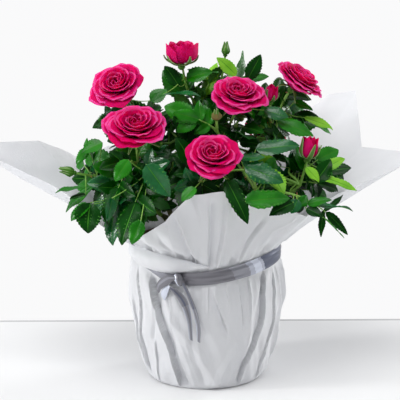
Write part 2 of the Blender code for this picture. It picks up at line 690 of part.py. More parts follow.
def crosses_itself(verts, faces):
    tree = BVHTree.FromPolygons([tuple(v) for v in verts], faces)
    return any(not set(faces[a]) & set(faces[b]) for a, b in tree.overlap(tree))


def whole_leaf(leaf):
    """The leaf's solid in a list, less any side leaflet that would cross another, or an empty list."""
    while leaf.leaflets:
        solid = leaf_solid(leaf)
        if not crosses_itself(*solid):
            return [solid]
        leaf.leaflets.pop()
    return []


def slab(rows, thickness, normal_of):
    """A closed thin solid over a grid of points, thickened about it."""
    across = len(rows[0])
    flat = [p for row in rows for p in row]
    shifts = [normal_of(p) * thickness / 2 for p in flat]
    verts = [p + s for p, s in zip(flat, shifts)] + [p - s for p, s in zip(flat, shifts)]
    under = len(flat)
    faces = []
    for i in range(len(rows) - 1):
        for j in range(across - 1):
            a = i * across + j
            quad = (a, a + 1, a + 1 + across, a + across)
            faces += [quad, tuple(v + under for v in reversed(quad))]
    edge = list(range(across)) + [i * across + across - 1 for i in range(1, len(rows))]
    edge += [len(flat) - 1 - j for j in range(1, across)]
    edge += [i * across for i in range(len(rows) - 2, 0, -1)]
    for a, b in zip(edge, edge[1:] + edge[:1]):
        faces.append((b, a, a + under, b + under))
    return verts, faces


def placed(solid, middle, look, spin=0.0):
    """A solid made round +Z, turned to look along a direction and moved to its place."""
    verts, faces = solid
    side = unit(np.cross(look, (0.23, 0.31, 0.92) if abs(look[2]) < 0.9 else (1.0, 0.2, 0.0)))
    third = np.cross(look, side)
    a = side * math.cos(spin) + third * math.sin(spin)
    b = np.cross(look, a)
    return [middle + a * x + b * y + look * z for x, y, z in verts], faces


def bloom_solid(middle, look, ending, size):
    """A bloom or bud as one turned body, its rim scalloped by its petals."""
    if ending in (PINK_BUD, GREEN_BUD):
        shape = ((0, -0.5), (0.2, -0.42), (0.34, -0.12), (0.27, 0.2), (0.1, 0.44), (0, 0.5))
        return placed(lathe([(r * size, h * size) for r, h in shape], 6), middle, look)
    if ending == HALF:
        shape = ((0, -0.75), (0.36, -0.68), (0.76, -0.3), (0.94, 0.2), (0.98, 0.74), (0.6, 0.56), (0, 0.54))
        wave = lambda k, i: 0.05 * math.cos(math.pi * i) if k > 2 else 0.0
        return placed(lathe([(r * size, h * size) for r, h in shape], 10, wave), middle, look)
    shape = ((0, -0.48), (0.3, -0.44), (0.8, -0.14), (0.98, 0.0), (0.72, 0.17), (0.5, 0.36), (0.24, 0.34),
             (0, 0.24))
    wave = lambda k, i: (0, 0.04, 0.04, 0.04, -0.05, 0.06, -0.08, 0)[k] * math.cos(math.pi * i)
    return placed(lathe([(r * size, h * size) for r, h in shape], 10, wave), middle, look)


def largest_piece(bm):
    """Drops every loose piece but the one with the most faces."""
    seen, pieces = set(), []
    for face in bm.faces:
        if face.index in seen:
            continue
        seen.add(face.index)
        piece, stack = [], [face]
        while stack:
            here = stack.pop()
            piece.append(here)
            for edge in here.edges:
                for other in edge.link_faces:
                    if other.index not in seen:
                        seen.add(other.index)
                        stack.append(other)
        pieces.append(piece)
    pieces.sort(key=len)
    for piece in pieces[:-1]:
        bmesh.ops.delete(bm, geom=piece, context="FACES")


def united(made, solver):
    """The object's mesh as its modifiers leave it, joined by one solver."""
    made.modifiers[0].solver = solver
    bpy.context.view_layer.update()
    return bpy.data.meshes.new_from_object(made.evaluated_get(bpy.context.evaluated_depsgraph_get()))


def closed_body(mesh, shortest):
    """The mesh's largest piece with edges under a length merged away, or None if that opens it."""
    bm = bmesh.new()
    bm.from_mesh(mesh)
    bmesh.ops.triangulate(bm, faces=bm.faces)
    bmesh.ops.remove_doubles(bm, verts=bm.verts, dist=shortest)
    bmesh.ops.dissolve_degenerate(bm, edges=bm.edges, dist=shortest)
    bmesh.ops.triangulate(bm, faces=bm.faces)
    bm.faces.index_update()
    largest_piece(bm)
    loose = [vert for vert in bm.verts if not vert.link_faces]
    bmesh.ops.delete(bm, geom=loose, context="VERTS")
    if all(len(edge.link_faces) == 2 for edge in bm.edges) and bm.calc_volume(signed=True) > 0:
        return bm
    bm.free()
    return None


def fuse(name, trunk, solids, colour):
    """One solid from a trunk and all that is rooted in it."""
    parts = bpy.data.collections.new(name + "_parts")
    bpy.context.scene.collection.children.link(parts)
    made = add_object(name, *trunk, colour)
    for i, solid in enumerate(solids):
        add_object(f"{name}_part_{i}", *solid, collection=parts)
    union = made.modifiers.new("union", "BOOLEAN")
    union.operation = "UNION"
    union.operand_type = "COLLECTION"
    union.collection = parts
    body = None
    for attempt in range(12):
        draw = random.Random(attempt)
        for part in parts.objects:
            part.location = [draw.uniform(-NUDGE, NUDGE) * attempt for _ in range(3)]
        joined = united(made, "MANIFOLD")
        for shortest in SHORTEST_EDGES:
            body = body or closed_body(joined, shortest)
        if body:
            break
    body.to_mesh(joined)
    body.free()
    made.modifiers.remove(union)
    for part in list(parts.objects):
        bpy.data.objects.remove(part)
    bpy.data.collections.remove(parts)
    joined.materials.clear()
    joined.materials.append(made.data.materials[0])
    made.data = joined
    joined.name = name
    return made


def build_pot():
    floor = WRAP_THICKNESS + GAP
    lip = POT_HEIGHT - POT_LIP_DEPTH
    profile = ((0, floor), (POT_BASE_RADIUS, floor), (POT_WAIST_RADIUS, lip), (POT_LIP_RADIUS, lip),
               (POT_LIP_RADIUS, POT_HEIGHT), (POT_LIP_RADIUS - POT_WALL, POT_HEIGHT),
               (POT_WAIST_RADIUS - POT_WALL, lip - 0.002), (POT_BASE_RADIUS - POT_WALL, floor + POT_WALL),
               (0, floor + POT_WALL))
    add_object("pot", *lathe(profile, TURNED_SIDES), POT_BROWN, 0.5)
    inside = POT_WALL + GAP * 1.3
    base = floor + inside
    slope = (POT_WAIST_RADIUS - POT_BASE_RADIUS) / (lip - 0.002 - floor)
    top = POT_BASE_RADIUS - inside + slope * (lip - 0.004 - base)
    profile = ((0, base), (POT_BASE_RADIUS - inside, base), (top, lip - 0.004), (top, SOIL_TOP),
               (0, SOIL_TOP))
    add_object("soil", *lathe(profile, TURNED_SIDES), EARTH, 0.95)


def build_wrap():
    """The paper sheet: flat under the pot, drawn in by the ribbon, and flared into corners above it."""
    azimuths = column_azimuths()
    columns = [wrap_column(azimuth) for azimuth in azimuths]
    rows = len(columns[0])
    outer = [np.zeros(3)]
    for azimuth, column in zip(azimuths, columns):
        turn = math.radians(azimuth)
        outer += [np.array([r * math.cos(turn), r * math.sin(turn), z]) for r, z in column]
    faces = []
    for i in range(len(columns)):
        a, b = 1 + i * rows, 1 + (i + 1) % len(columns) * rows
        faces.append((0, a, b))
        faces += [(a + k, a + k + 1, b + k + 1, b + k) for k in range(rows - 1)]
    sheet = bpy.data.meshes.new("sheet")
    sheet.from_pydata([tuple(v) for v in outer], [], faces)
    bm = bmesh.new()
    bm.from_mesh(sheet)
    bmesh.ops.recalc_face_normals(bm, faces=bm.faces)
    bm.normal_update()
    bm.verts.ensure_lookup_table()
    facing_out = 1 if bm.verts[0].normal.z < 0 else -1
    inward = -facing_out * WRAP_THICKNESS
    inner = [place + np.array(vert.normal) * inward for vert, place in zip(bm.verts, outer)]
    bm.free()
    bpy.data.meshes.remove(sheet)
    inner[0] = np.array([0, 0, WRAP_THICKNESS])
    for i in range(len(columns)):
        for k in (0, 1):
            index = 1 + i * rows + k
            inner[index] = np.array([*(outer[index][:2] * (1 - 0.010 * k)), WRAP_THICKNESS])
    under = len(outer)
    faces += [tuple(v + under for v in reversed(face)) for face in faces]
    for i in range(len(columns)):
        a, b = i * rows + rows, (i + 1) % len(columns) * rows + rows
        faces.append((b, a, a + under, b + under))
    add_object("wrap", outer + inner, faces, PAPER, 0.8, smooth=True)


def around(radius, azimuth, height):
    turn = math.radians(azimuth)
    return np.array([radius * math.cos(turn), radius * math.sin(turn), height])


def outward(point):
    return unit((point[0], point[1], 0.0))


def build_ribbon():
    """A satin band round the neck, its knot, a short loop to the knot's left and two tails below it."""
    sides = 48
    verts, faces = [], []
    for i in range(sides):
        azimuth = 360 * i / sides
        tie = tie_height(azimuth)
        for radius, lift in ((0, -1), (0, 1), (RIBBON_THICKNESS, 1), (RIBBON_THICKNESS, -1)):
            verts.append(around(RIBBON_RADIUS - RIBBON_THICKNESS / 2 + radius, azimuth,
                                tie + lift * (RIBBON_WIDTH / 2 - 0.0004)))
    for i in range(sides):
        j = (i + 1) % sides
        for k in range(4):
            m = (k + 1) % 4
            faces.append((4 * i + k, 4 * j + k, 4 * j + m, 4 * i + m))
    add_object("ribbon_band", verts, faces, SATIN, 0.35, smooth=False)
    knot = RIBBON_RADIUS + RIBBON_THICKNESS / 2 + GAP
    middle = around(knot + 0.0032, KNOT_AZIMUTH, KNOT_HEIGHT)
    side = np.cross(UP, outward(middle))
    verts, faces = lathe(((0, -1), (0.72, -0.72), (1, 0), (0.72, 0.72), (0, 1)), 8)
    wide, deep, high = side * 0.0045, outward(middle) * 0.0032, UP * 0.0058
    shaped = [middle + wide * x + deep * y + high * z for x, y, z in verts]
    add_object("ribbon_knot", shaped, faces, SATIN, 0.35, smooth=True)
    hang = KNOT_HEIGHT - 0.0064
    for name, start, slant, length, width in (("ribbon_loop", -8.6, -5.0, 0.011, 0.0090),
                                              ("ribbon_tail_left", -1.0, 10.0, 0.046, 0.0065),
                                              ("ribbon_tail_right", 9.0, 9.0, 0.044, 0.0055)):
        rows = []
        for i in range(7):
            share = i / 6
            azimuth = KNOT_AZIMUTH + start + slant * share
            height = hang - length * share
            row = []
            for hand in (-0.5, 0.5):
                turn = azimuth + math.degrees(hand * width / 0.062)
                near = [(turn + d, height + e) for d in (-3, 0, 3) for e in (-0.006, 0, 0.006)]
                lift = max([WRAP_NECK_RADIUS] + [skirt_radius(*place) for place in near]) + 0.0010
                row.append(around(lift, turn, height + hand * width * slant / 60))
            rows.append(row)
        add_object(name, *slab(rows, RIBBON_THICKNESS * 1.4, outward), SATIN, 0.35)


def build_plant():
    plan = Plan()
    for name, points in plan.canes.items():
        add_object(name, *cane_solid(points), BARK, 0.7)
    for name, points in plan.boughs.items():
        add_object(name.replace("mass", "bough"), *bough_solid(points), BARK, 0.7)
    for name in plan.names:
        solids = []
        for points, ending, size, look in plan.shoots[name]:
            solids.append(tapered(points, SHOOT_RADIUS * 1.1, SHOOT_RADIUS * 0.8, 3))
        for owner, middle, look, ending, size in plan.blooms:
            if owner == name:
                solids.append(bloom_solid(middle, look, ending, size))
        for leaf in plan.leaves[name]:
            solids += whole_leaf(leaf)
        stem = tapered(plan.stems[name], STEM_RADIUS, SHOOT_RADIUS, 5)
        fuse(name, stem, solids, LEAF)


def main():
    for old in list(bpy.data.objects):
        bpy.data.objects.remove(old)
    build_pot()
    build_wrap()
    build_ribbon()
    build_plant()


main()
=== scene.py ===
"""The looks of the potted miniature rose: leaves, blooms, stems, paper wrap and satin ribbon.

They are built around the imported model. Metres, +Z up, the front along -Y.
"""

import math
import random

import bpy
import mathutils
import numpy as np
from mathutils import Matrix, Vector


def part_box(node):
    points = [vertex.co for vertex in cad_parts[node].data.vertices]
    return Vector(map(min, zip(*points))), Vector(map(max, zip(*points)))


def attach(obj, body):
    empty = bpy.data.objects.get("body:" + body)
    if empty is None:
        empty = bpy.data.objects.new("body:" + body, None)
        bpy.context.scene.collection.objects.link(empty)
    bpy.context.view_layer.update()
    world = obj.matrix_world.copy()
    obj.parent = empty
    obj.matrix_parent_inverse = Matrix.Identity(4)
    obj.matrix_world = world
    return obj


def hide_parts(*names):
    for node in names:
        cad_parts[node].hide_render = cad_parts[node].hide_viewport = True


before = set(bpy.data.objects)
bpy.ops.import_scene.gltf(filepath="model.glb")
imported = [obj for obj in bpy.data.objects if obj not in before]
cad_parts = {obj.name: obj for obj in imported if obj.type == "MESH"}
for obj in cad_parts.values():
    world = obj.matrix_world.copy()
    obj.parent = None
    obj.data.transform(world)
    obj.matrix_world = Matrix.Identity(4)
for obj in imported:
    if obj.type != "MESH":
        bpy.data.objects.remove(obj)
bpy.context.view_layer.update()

MM = 0.001
UP = np.array([0.0, 0.0, 1.0])
FLAT = np.array([1.0, 1.0, 0.0])
GOLDEN_ANGLE = math.radians(137.5)
ANY_TURN = (0, 6.3)  # the range of a random turn, in radians

# ---------------------------------------------------------------- sizes shared with the model's source
POT_HEIGHT = 0.1110
SOIL_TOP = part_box("soil")[1].z
SOIL_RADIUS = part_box("soil")[1].x
WRAP_NECK_RADIUS = 0.0594
WRAP_FLOOR_RADIUS = 0.0240
RIBBON_WIDTH = 0.0130
RIBBON_RADIUS = WRAP_NECK_RADIUS + 0.0010
KNOT_AZIMUTH = -112.0
KNOT_HEIGHT = 0.0930
TIE_HEIGHT = 0.1050
CANE_RADIUS = 0.0024
BOUGH_RADIUS = 0.0017
BOUGH_SIDES = 5
STEM_RADIUS = 0.0014
SHOOT_RADIUS = 0.0011
LEAFLET_LENGTH = 0.0320
LEAFLET_WIDTH = 0.0225
RACHIS_LENGTH = 0.0220
INTERNODE = 0.0100
GAP = 0.0003

# ---------------------------------------------------------------- the wrap's shape
# Corners and dips of the sheet's edge, in millimetres, round from the dip beside the front flap.
SHEET_EDGE = (
    (-58, -33, 115), (-48, -60, 128), (-30, -82, 144), (-12, -90, 165), (14, -87, 168),  # front flap
    (42, -75, 159), (77, -52, 141), (102, -35, 155), (153, -10, 172), (172, 2, 181),  # right wing
    (130, 50, 177), (128, 90, 219), (106, 95, 215), (92, 95, 204),  # right back peak
    (66, 92, 176), (34, 104, 168), (0, 112, 176), (-36, 104, 166), (-84, 98, 170),  # back
    (-104, 64, 164), (-116, 32, 178), (-135, 18, 188), (-195, 0, 189),  # left wing
    (-132, -13, 163), (-116, -18, 156), (-86, -28, 131),
)
# The skirt's profile as (radius, height), up to where it meets the ribbon behind.
SKIRT = ((0.0455, 0.0), (0.0478, 0.0030), (0.0520, 0.0160), (0.0578, 0.0400), (0.0615, 0.0640),
         (0.0620, 0.0790))
SKIRT_HEIGHT = 0.0970
TIE_SPREAD_RIGHT, TIE_SPREAD_LEFT = 1.1, 0.40  # radians over which the ribbon rises again beside the knot
COLLAR_FOOT = 0.001  # the collar starts this far above the ribbon
COLLAR_BEND_REACH, COLLAR_BEND_RISE = 0.46, 0.42  # where the collar bends, as shares of its reach and rise
EDGE = np.array(SHEET_EDGE) * MM
EDGE_AZIMUTHS = np.degrees(np.arctan2(EDGE[:, 1], EDGE[:, 0]))


def rim(azimuth):
    """(reach, height) of the sheet's edge at an azimuth in degrees: straight between its corners."""
    turn = (EDGE_AZIMUTHS - azimuth) % 360
    i = int(np.argmax(turn))
    a, b = EDGE[i], EDGE[(i + 1) % len(EDGE)]
    ray = (math.cos(math.radians(azimuth)), math.sin(math.radians(azimuth)))
    side_a, side_b = ray[0] * a[1] - ray[1] * a[0], ray[0] * b[1] - ray[1] * b[0]
    share = side_a / (side_a - side_b) if abs(side_a - side_b) > 1e-12 else 0.0
    point = a + (b - a) * share
    return math.hypot(point[0], point[1]), float(point[2])


def tie_height(azimuth):
    """Height of the ribbon's middle: level round the back, and drawn down at the knot."""
    turn = math.radians((azimuth - KNOT_AZIMUTH + 180) % 360 - 180)
    width = TIE_SPREAD_RIGHT if turn > 0 else TIE_SPREAD_LEFT
    return TIE_HEIGHT - (TIE_HEIGHT - KNOT_HEIGHT) * math.exp(-((turn / width) ** 2))


def collar(azimuth, share):
    """(radius, height) of the flared collar, from the ribbon's top edge (0) to the sheet's edge (1)."""
    reach, height = rim(azimuth)
    foot = tie_height(azimuth) + RIBBON_WIDTH / 2 + COLLAR_FOOT
    bend_radius = WRAP_NECK_RADIUS + COLLAR_BEND_REACH * (reach - WRAP_NECK_RADIUS)
    bend_height = foot + COLLAR_BEND_RISE * (height - foot)
    a, b, c = (1 - share) ** 2, 2 * share * (1 - share), share**2
    return a * WRAP_NECK_RADIUS + b * bend_radius + c * reach, a * foot + b * bend_height + c * height


# ---------------------------------------------------------------- the plant's plan
# Canes rooted in the soil, in millimetres: foot (x, y) and top (x, y, z).
CANES = {
    "cane_left": ((-20, -6), (-30, -8, 140)),
    "cane_front": ((4, -20), (4, -32, 138)),
    "cane_right": ((22, -2), (32, -6, 142)),
    "cane_back": ((-2, 20), (0, 28, 144)),
}
OPEN, HALF, PINK_BUD, GREEN_BUD, LEAFY = "open", "half_open", "pink_bud", "green_bud", "leafy"
# The foliage masses: the cane that bears each, its heart, and its shoots. A shoot is the middle of its
# bloom or the tip of its last leaf, its ending, a size (a bloom's radius or a bud's length in
# millimetres, or a last leaf's scale) and the azimuth and elevation it faces in degrees.
MASSES = {
    "mass_left_high": ("cane_left", (-48, 8, 186), (
        ((-69, -5, 236), OPEN, 22.5, (-112, 46)),
        ((-45, 30, 239), LEAFY, 1.0, (140, 58)),
        ((-84, 2, 197), LEAFY, 0.8, (175, 20)),
        ((-84, 34, 206), LEAFY, 1.0, (155, 30)),
        ((-40, -16, 226), LEAFY, 0.9, (-60, 40)))),
    "mass_left_side": ("cane_left", (-72, -16, 160), (
        ((-107, -20, 170), GREEN_BUD, 12.0, (-175, 14)),
        ((-103, -4, 180), LEAFY, 1.0, (170, 25)),
        ((-116, -25, 156), LEAFY, 0.9, (-172, -12)),
        ((-98, 26, 182), LEAFY, 1.0, (150, 20)))),
    "mass_front_left": ("cane_left", (-50, -44, 156), (
        ((-53, -55, 211), OPEN, 26.0, (-90, 56)),
        ((-92, -62, 131), LEAFY, 1.05, (-145, -48)),
        ((-73, -76, 143), LEAFY, 0.9, (-125, -55)),
        ((-52, -86, 128), LEAFY, 1.0, (-110, -62)),
        ((-78, -50, 182), LEAFY, 1.0, (-160, 0)),
        ((-34, -84, 165), LEAFY, 1.05, (-90, -30)))),
    "mass_front": ("cane_front", (-4, -56, 162), (
        ((5, -75, 192), OPEN, 24.0, (-90, 42)),
        ((-34, -76, 162), LEAFY, 0.95, (-115, -20)),
        ((-17, -95, 171), LEAFY, 0.7, (-110, -15)),
        ((32, -99, 149), LEAFY, 1.0, (-88, -30)),
        ((-22, -56, 196), LEAFY, 0.9, (-125, 30)))),
    "mass_front_right": ("cane_front", (40, -52, 158), (
        ((62, -86, 149), LEAFY, 1.05, (-55, -35)),
        ((107, -54, 126), LEAFY, 0.8, (-2, -42)),
        ((113, -48, 147), LEAFY, 0.9, (5, -6)),
        ((36, -88, 174), LEAFY, 1.1, (-75, -10)),
        ((62, -70, 184), LEAFY, 1.0, (-55, 5)))),
    "mass_centre": ("cane_front", (12, -24, 192), (
        ((25, -30, 232), OPEN, 23.5, (-80, 62)),
        ((8, -52, 219), GREEN_BUD, 9.0, (-90, 70)),
        ((-26, -40, 212), LEAFY, 1.0, (-120, 30)),
        ((-16, -14, 234), LEAFY, 1.0, (165, 50)),
        ((40, -52, 206), LEAFY, 0.9, (-65, 15)))),
    "mass_right_side": ("cane_right", (74, -24, 160), (
        ((80, -30, 189), PINK_BUD, 22.0, (-40, 78)),
        ((108, -20, 182), LEAFY, 1.0, (-15, 22)),
        ((118, -30, 159), LEAFY, 1.0, (-20, -12)),
        ((96, 10, 176), LEAFY, 1.0, (20, 5)))),
    "mass_right_high": ("cane_right", (54, 6, 190), (
        ((73, 0, 240), OPEN, 22.5, (-22, 50)),
        ((51, -10, 229), PINK_BUD, 16.0, (-60, 80)),
        ((103, 8, 198), LEAFY, 1.0, (-6, -14)),
        ((86, 16, 216), LEAFY, 0.9, (0, -5)),
        ((66, -48, 198), LEAFY, 1.05, (-65, 5)),
        ((58, 50, 232), LEAFY, 1.0, (55, 50)),
        ((92, 44, 200), LEAFY, 1.0, (25, 10)))),
    "mass_top": ("cane_back", (2, 18, 194), (
        ((-19, -5, 262), HALF, 13.8, (-100, 86)),
        ((16, 20, 261), GREEN_BUD, 11.0, (0, 86)),
        ((-31, 12, 249), LEAFY, 0.9, (165, 55)),
        ((-12, 30, 250), LEAFY, 1.0, (100, 62)),
        ((41, 18, 257), LEAFY, 1.0, (10, 66)),
        ((24, 46, 244), LEAFY, 0.9, (70, 48)))),
    "mass_back_left": ("cane_back", (-44, 50, 166), (
        ((-58, 58, 196), OPEN, 22.0, (130, 48)),
        ((-48, 92, 168), LEAFY, 1.0, (115, -10)),
        ((-86, 62, 172), LEAFY, 1.0, (148, -5)),
        ((-34, 62, 224), LEAFY, 1.0, (115, 45)))),
    "mass_back": ("cane_back", (0, 60, 176), (
        ((30, 74, 208), HALF, 13.0, (90, 66)),
        ((-16, 101, 170), LEAFY, 1.0, (100, -15)),
        ((24, 102, 180), LEAFY, 1.0, (78, 0)),
        ((6, 58, 238), LEAFY, 1.0, (90, 55)))),
    "mass_back_right": ("cane_back", (44, 54, 168), (
        ((50, 58, 188), OPEN, 21.0, (55, 50)),
        ((86, 62, 172), LEAFY, 1.0, (35, -5)),
        ((42, 96, 164), LEAFY, 1.0, (70, -15)))),
}
# Leaflets of finer twigs at the plant's front, in millimetres: the mass that bears each, where it starts,
# its tip, its width, the azimuth and elevation it faces in degrees, and its tone.
# Leaf tones: DARK is partly painted shade, BRIGHT partly painted light shining through leaves, BLUISH a
# painted bluish sheen; the others are the leaves' own greens.
DARK, MID, BRIGHT, BLUISH, UNDERSIDE, RIB = range(6)
FRONT_LEAFLETS = (
    # over the sheet's edge, right of the flap
    ("mass_front", (15, -82, 176), (32, -97, 147), 14, (-75, 20), DARK),
    ("mass_front_right", (29, -90, 161), (63, -78, 163), 17, (-80, 45), MID),
    ("mass_front_right", (65, -76, 157), (48, -88, 152), 12, (-75, 40), DARK),
    ("mass_front_right", (29, -72, 184), (58, -78, 174), 17, (-85, 35), BLUISH),
    ("mass_front", (26, -66, 189), (43, -74, 191), 10, (-90, 60), BLUISH),
    # round the bud at the right
    ("mass_right_side", (87, -40, 171), (116, -46, 161), 10, (-75, 60), BRIGHT),
    ("mass_right_side", (77, -44, 178), (86, -50, 168), 9, (-60, 30), BRIGHT),
    ("mass_right_side", (84, -44, 167), (98, -38, 182), 13, (-70, 30), DARK),
    ("mass_right_side", (93, -34, 175), (107, -28, 184), 9, (-80, 45), BRIGHT),
    # the low sprig at the right
    ("mass_front_right", (77, -62, 153), (94, -66, 159), 8, (-80, 50), MID),
    ("mass_front_right", (76, -64, 150), (88, -70, 146), 9, (-80, 40), DARK),
    ("mass_front_right", (69, -68, 158), (64, -72, 148), 10, (-90, 25), BLUISH),
    ("mass_front_right", (71, -62, 152), (77, -60, 159), 8, (-90, 30), MID),
    ("mass_front_right", (80, -62, 152), (112, -62, 150), 9, (-60, 86), BLUISH),
    ("mass_front_right", (89, -64, 143), (105, -70, 129), 8, (10, 38), MID),
    # at the left
    ("mass_front_left", (-87, -66, 155), (-91, -72, 133), 21, (-100, 15), DARK),
    ("mass_front_left", (-88, -64, 153), (-103, -66, 142), 13, (-110, 55), MID),
    ("mass_front_left", (-70, -78, 161), (-72, -82, 144), 8, (-60, 10), BLUISH),
    ("mass_left_side", (-92, -46, 163), (-115, -50, 160), 10, (-90, 84), MID),
    ("mass_left_side", (-92, -46, 157), (-104, -50, 155), 8, (-90, 78), DARK),
    ("mass_left_side", (-92, -20, 188), (-102, -24, 178), 9, (-110, 35), MID),
    ("mass_left_high", (-80, -26, 194), (-96, -30, 187), 13, (-110, 45), MID),
    ("mass_front", (-44, -86, 188), (-27, -92, 165), 17, (-95, 15), BLUISH),
    ("mass_front_left", (-57, -84, 191), (-67, -88, 176), 12, (-105, 20), MID),
    ("mass_front_left", (-48, -92, 147), (-55, -96, 130), 12, (-110, 12), MID),
    ("mass_front", (-8, -88, 171), (-18, -96, 163), 9, (-110, 30), MID),
    # among the high blooms
    ("mass_left_high", (-43, -14, 225), (-30, -10, 233), 12, (-90, 40), MID),
    ("mass_top", (-21, -8, 236), (-31, -6, 252), 12, (-85, 20), DARK),
    ("mass_top", (-15, -4, 241), (5, -4, 248), 13, (-90, 35), MID),
    ("mass_centre", (-33, -22, 231), (-4, -26, 233), 12, (-90, 84), BLUISH),
    ("mass_top", (24, 2, 243), (10, 4, 258), 11, (-80, 35), BRIGHT),
    ("mass_top", (33, 0, 240), (44, 2, 259), 12, (-75, 15), DARK),
    ("mass_right_high", (78, -2, 210), (101, -6, 203), 10, (-80, 60), BRIGHT),
    ("mass_right_high", (70, 2, 222), (85, 0, 216), 8, (-80, 55), MID),
    ("mass_right_high", (45, -30, 220), (63, -34, 215), 12, (-80, 40), BLUISH),
    ("mass_right_high", (38, -50, 193), (72, -46, 195), 15, (-90, 45), BLUISH),
    ("mass_right_high", (55, -26, 211), (84, -30, 202), 14, (-80, 45), MID),
)
# Which grown leaves have room.
SHOW_MARGIN = 0.0015
SHOWN_DEPTH = 0.025  # blooms further back than this may be hidden by leaves
CROWN_MIDDLE = np.array([0.0, 0.0, 0.160])
CROWN_REACH = np.array([0.109, 0.104, 0.094])
CROWN_DROP = 0.046  # how far the crown falls below its middle
CELL_MARGIN = 0.0009
LIMB_MARGIN = 0.0018
BLOOM_MARGIN = 0.0012
WRAP_MARGIN = 0.0030
LEAF_SPACING = 0.0026
LEAF_TRIES = 27
BLOOM_DEPTH = {OPEN: 0.60, HALF: 0.78, PINK_BUD: 0.55, GREEN_BUD: 0.55}  # half height by size
BLOOM_GIRTH = {OPEN: 1.0, HALF: 1.0, PINK_BUD: 0.34, GREEN_BUD: 0.34}  # half width by size
BLOOM_SINK = {OPEN: 0.34, HALF: 0.55, PINK_BUD: 0.38, GREEN_BUD: 0.38}  # from its middle to its stalk
OWN_LIMB_MARGIN = 0.0006
LINE_SHY, LEAFLET_SHY = 0.005, 0.008  # a leaf may touch its own limb this near its base
NEAR_SPAN = 0.055
LEAFLET_SHOWN = 0.45  # a front leaflet is kept clear this far to each side, by its width
ROSE_SHOWN, BUD_SHOWN = (1.9, 0.85), (1.3, 0.38)  # how long and how far to each side, by a bloom's size
# The grid of lowest heights over the sheet: its steps in degrees and in metres, and how many go outward.
FLOOR_TURN, FLOOR_STEP, FLOOR_STEPS = 3, 0.0025, 80
FLOOR_EDGE, FLOOR_EDGE_DROP = 0.004, 0.006  # how the grid goes on past the sheet's edge and inside the neck
FLOOR_SHIFTS = (-0.003, 0.0, 0.0045)  # a point is also held against the sheet this far in and out of it
# How limbs run.
LIMB_PULL = 0.36  # how far a limb keeps its first and last directions, by its span
NECK_SHARE = 0.35  # where a bough ends, from its cane towards the mass's heart
BOUGH_TOP, BOUGH_STEP = 0.003, 0.0062  # boughs leave their cane this far below its tip, and this far apart
BOUGH_LEAN, HEART_LIFT, SHOOT_LIFT = 0.7, 0.4, 0.35
# How a leaf is made, in shares of its own sizes, and angles in radians.
SPAN_OF_LEAF = RACHIS_LENGTH * 1.1 + LEAFLET_LENGTH
LEAF_ROLL, LEAFLET_ROLL = 0.45, 0.15
RACHIS_LEAST, RACHIS_A_PAIR = 0.8, 0.2  # a rachis's length, and what each pair of leaflets adds to it
RACHIS_BEND, END_DROP = 0.16, 0.06
LENGTHS, WIDTHS, FOLDS, DROOPS = (0.92, 1.06), (0.9, 1.04), (0.16, 0.45), (0.04, 0.18)
SIDE_SPREADS = (1.02, 1.2)
SIDE_PLACE, SIDE_STEP = 0.9, 0.46
SIDE_SCALE, SIDE_SCALE_STEP = 0.76, 0.14
FRONT_FOLDS, FRONT_DROOPS = (0.15, 0.4), (0.0, 0.10)
# How leaves stand on their limbs.
LEAF_SPREADS, LEAF_SCALES = (0.75, 1.15), (0.86, 1.06)
TRY_TURN, TRY_NUDGE = math.radians(40), 0.04
TRIES_A_SCALE, SCALES = 9, (1.0, 0.8, 0.66)  # after so many tries a leaf is tried smaller
FULL_LEAF = 5
LAY_BACK, LAY_DOWN = 0.6, 0.3
LOOK_AHEAD = 0.004
BARE_SHARE, BARE_STEM_SHARE = 0.12, 0.4  # the part of a shoot and of a stem that bears no leaf
BARE_END, BARE_BLOOM_END = 0.006, 0.009
SAMPLES_ALONG = np.array((0.08, 0.3, 0.55, 0.8, 1.0))
SAMPLES_ACROSS = np.array((-0.8, 0.0, 0.8))
# Leaves turn their faces up, out of the crown, level with the ground, and a little to the plant's front.
FACE_UP, FACE_OUT, FACE_LEVEL, LIGHT = 0.3, 0.35, 0.8, np.array([0.0, -0.65, 0.0])
CROWN_LIFT, HEADING_PULL = np.array([0.0, 0.0, 0.02]), 0.02
RAY_START = np.array([0.3, 0.2, 1.0])  # no limb runs this way
# The finer growth between the model's leaves.
FINE_SPACING = 0.0015
FINE_TRIES = 18
FINE_SEED = 7000000
FINE_FIRST, FINE_END, FINE_INTERNODE, FINE_SCALE = 0.08, 0.004, 0.55, 0.8


def unit(vector):
    """The same directions, one long."""
    vector = np.asarray(vector, float)
    length = np.sqrt((vector * vector).sum(-1, keepdims=True))
    return vector / np.maximum(1e-9, length)


def cross(a, b):
    """Cross products along the last axis."""
    return np.stack([a[..., 1] * b[..., 2] - a[..., 2] * b[..., 1],
                     a[..., 2] * b[..., 0] - a[..., 0] * b[..., 2],
                     a[..., 0] * b[..., 1] - a[..., 1] * b[..., 0]], -1)


def facing(azimuth, elevation):
    """The direction at an azimuth and an elevation in degrees."""
    a, e = math.radians(azimuth), math.radians(elevation)
    return np.array([math.cos(a) * math.cos(e), math.sin(a) * math.cos(e), math.sin(e)])


def curve(start, start_way, end, end_way, steps):
    """Points along a smooth limb that leaves its start and reaches its end in the given directions."""
    start, end = np.array(start, float), np.array(end, float)
    pull = LIMB_PULL * float(np.linalg.norm(end - start))
    first, second = start + unit(start_way) * pull, end - unit(end_way) * pull
    points = []
    for i in range(steps + 1):
        t = i / steps
        a, b, c, d = (1 - t) ** 3, 3 * t * (1 - t) ** 2, 3 * t * t * (1 - t), t**3
        points.append(a * start + b * first + c * second + d * end)
    return points


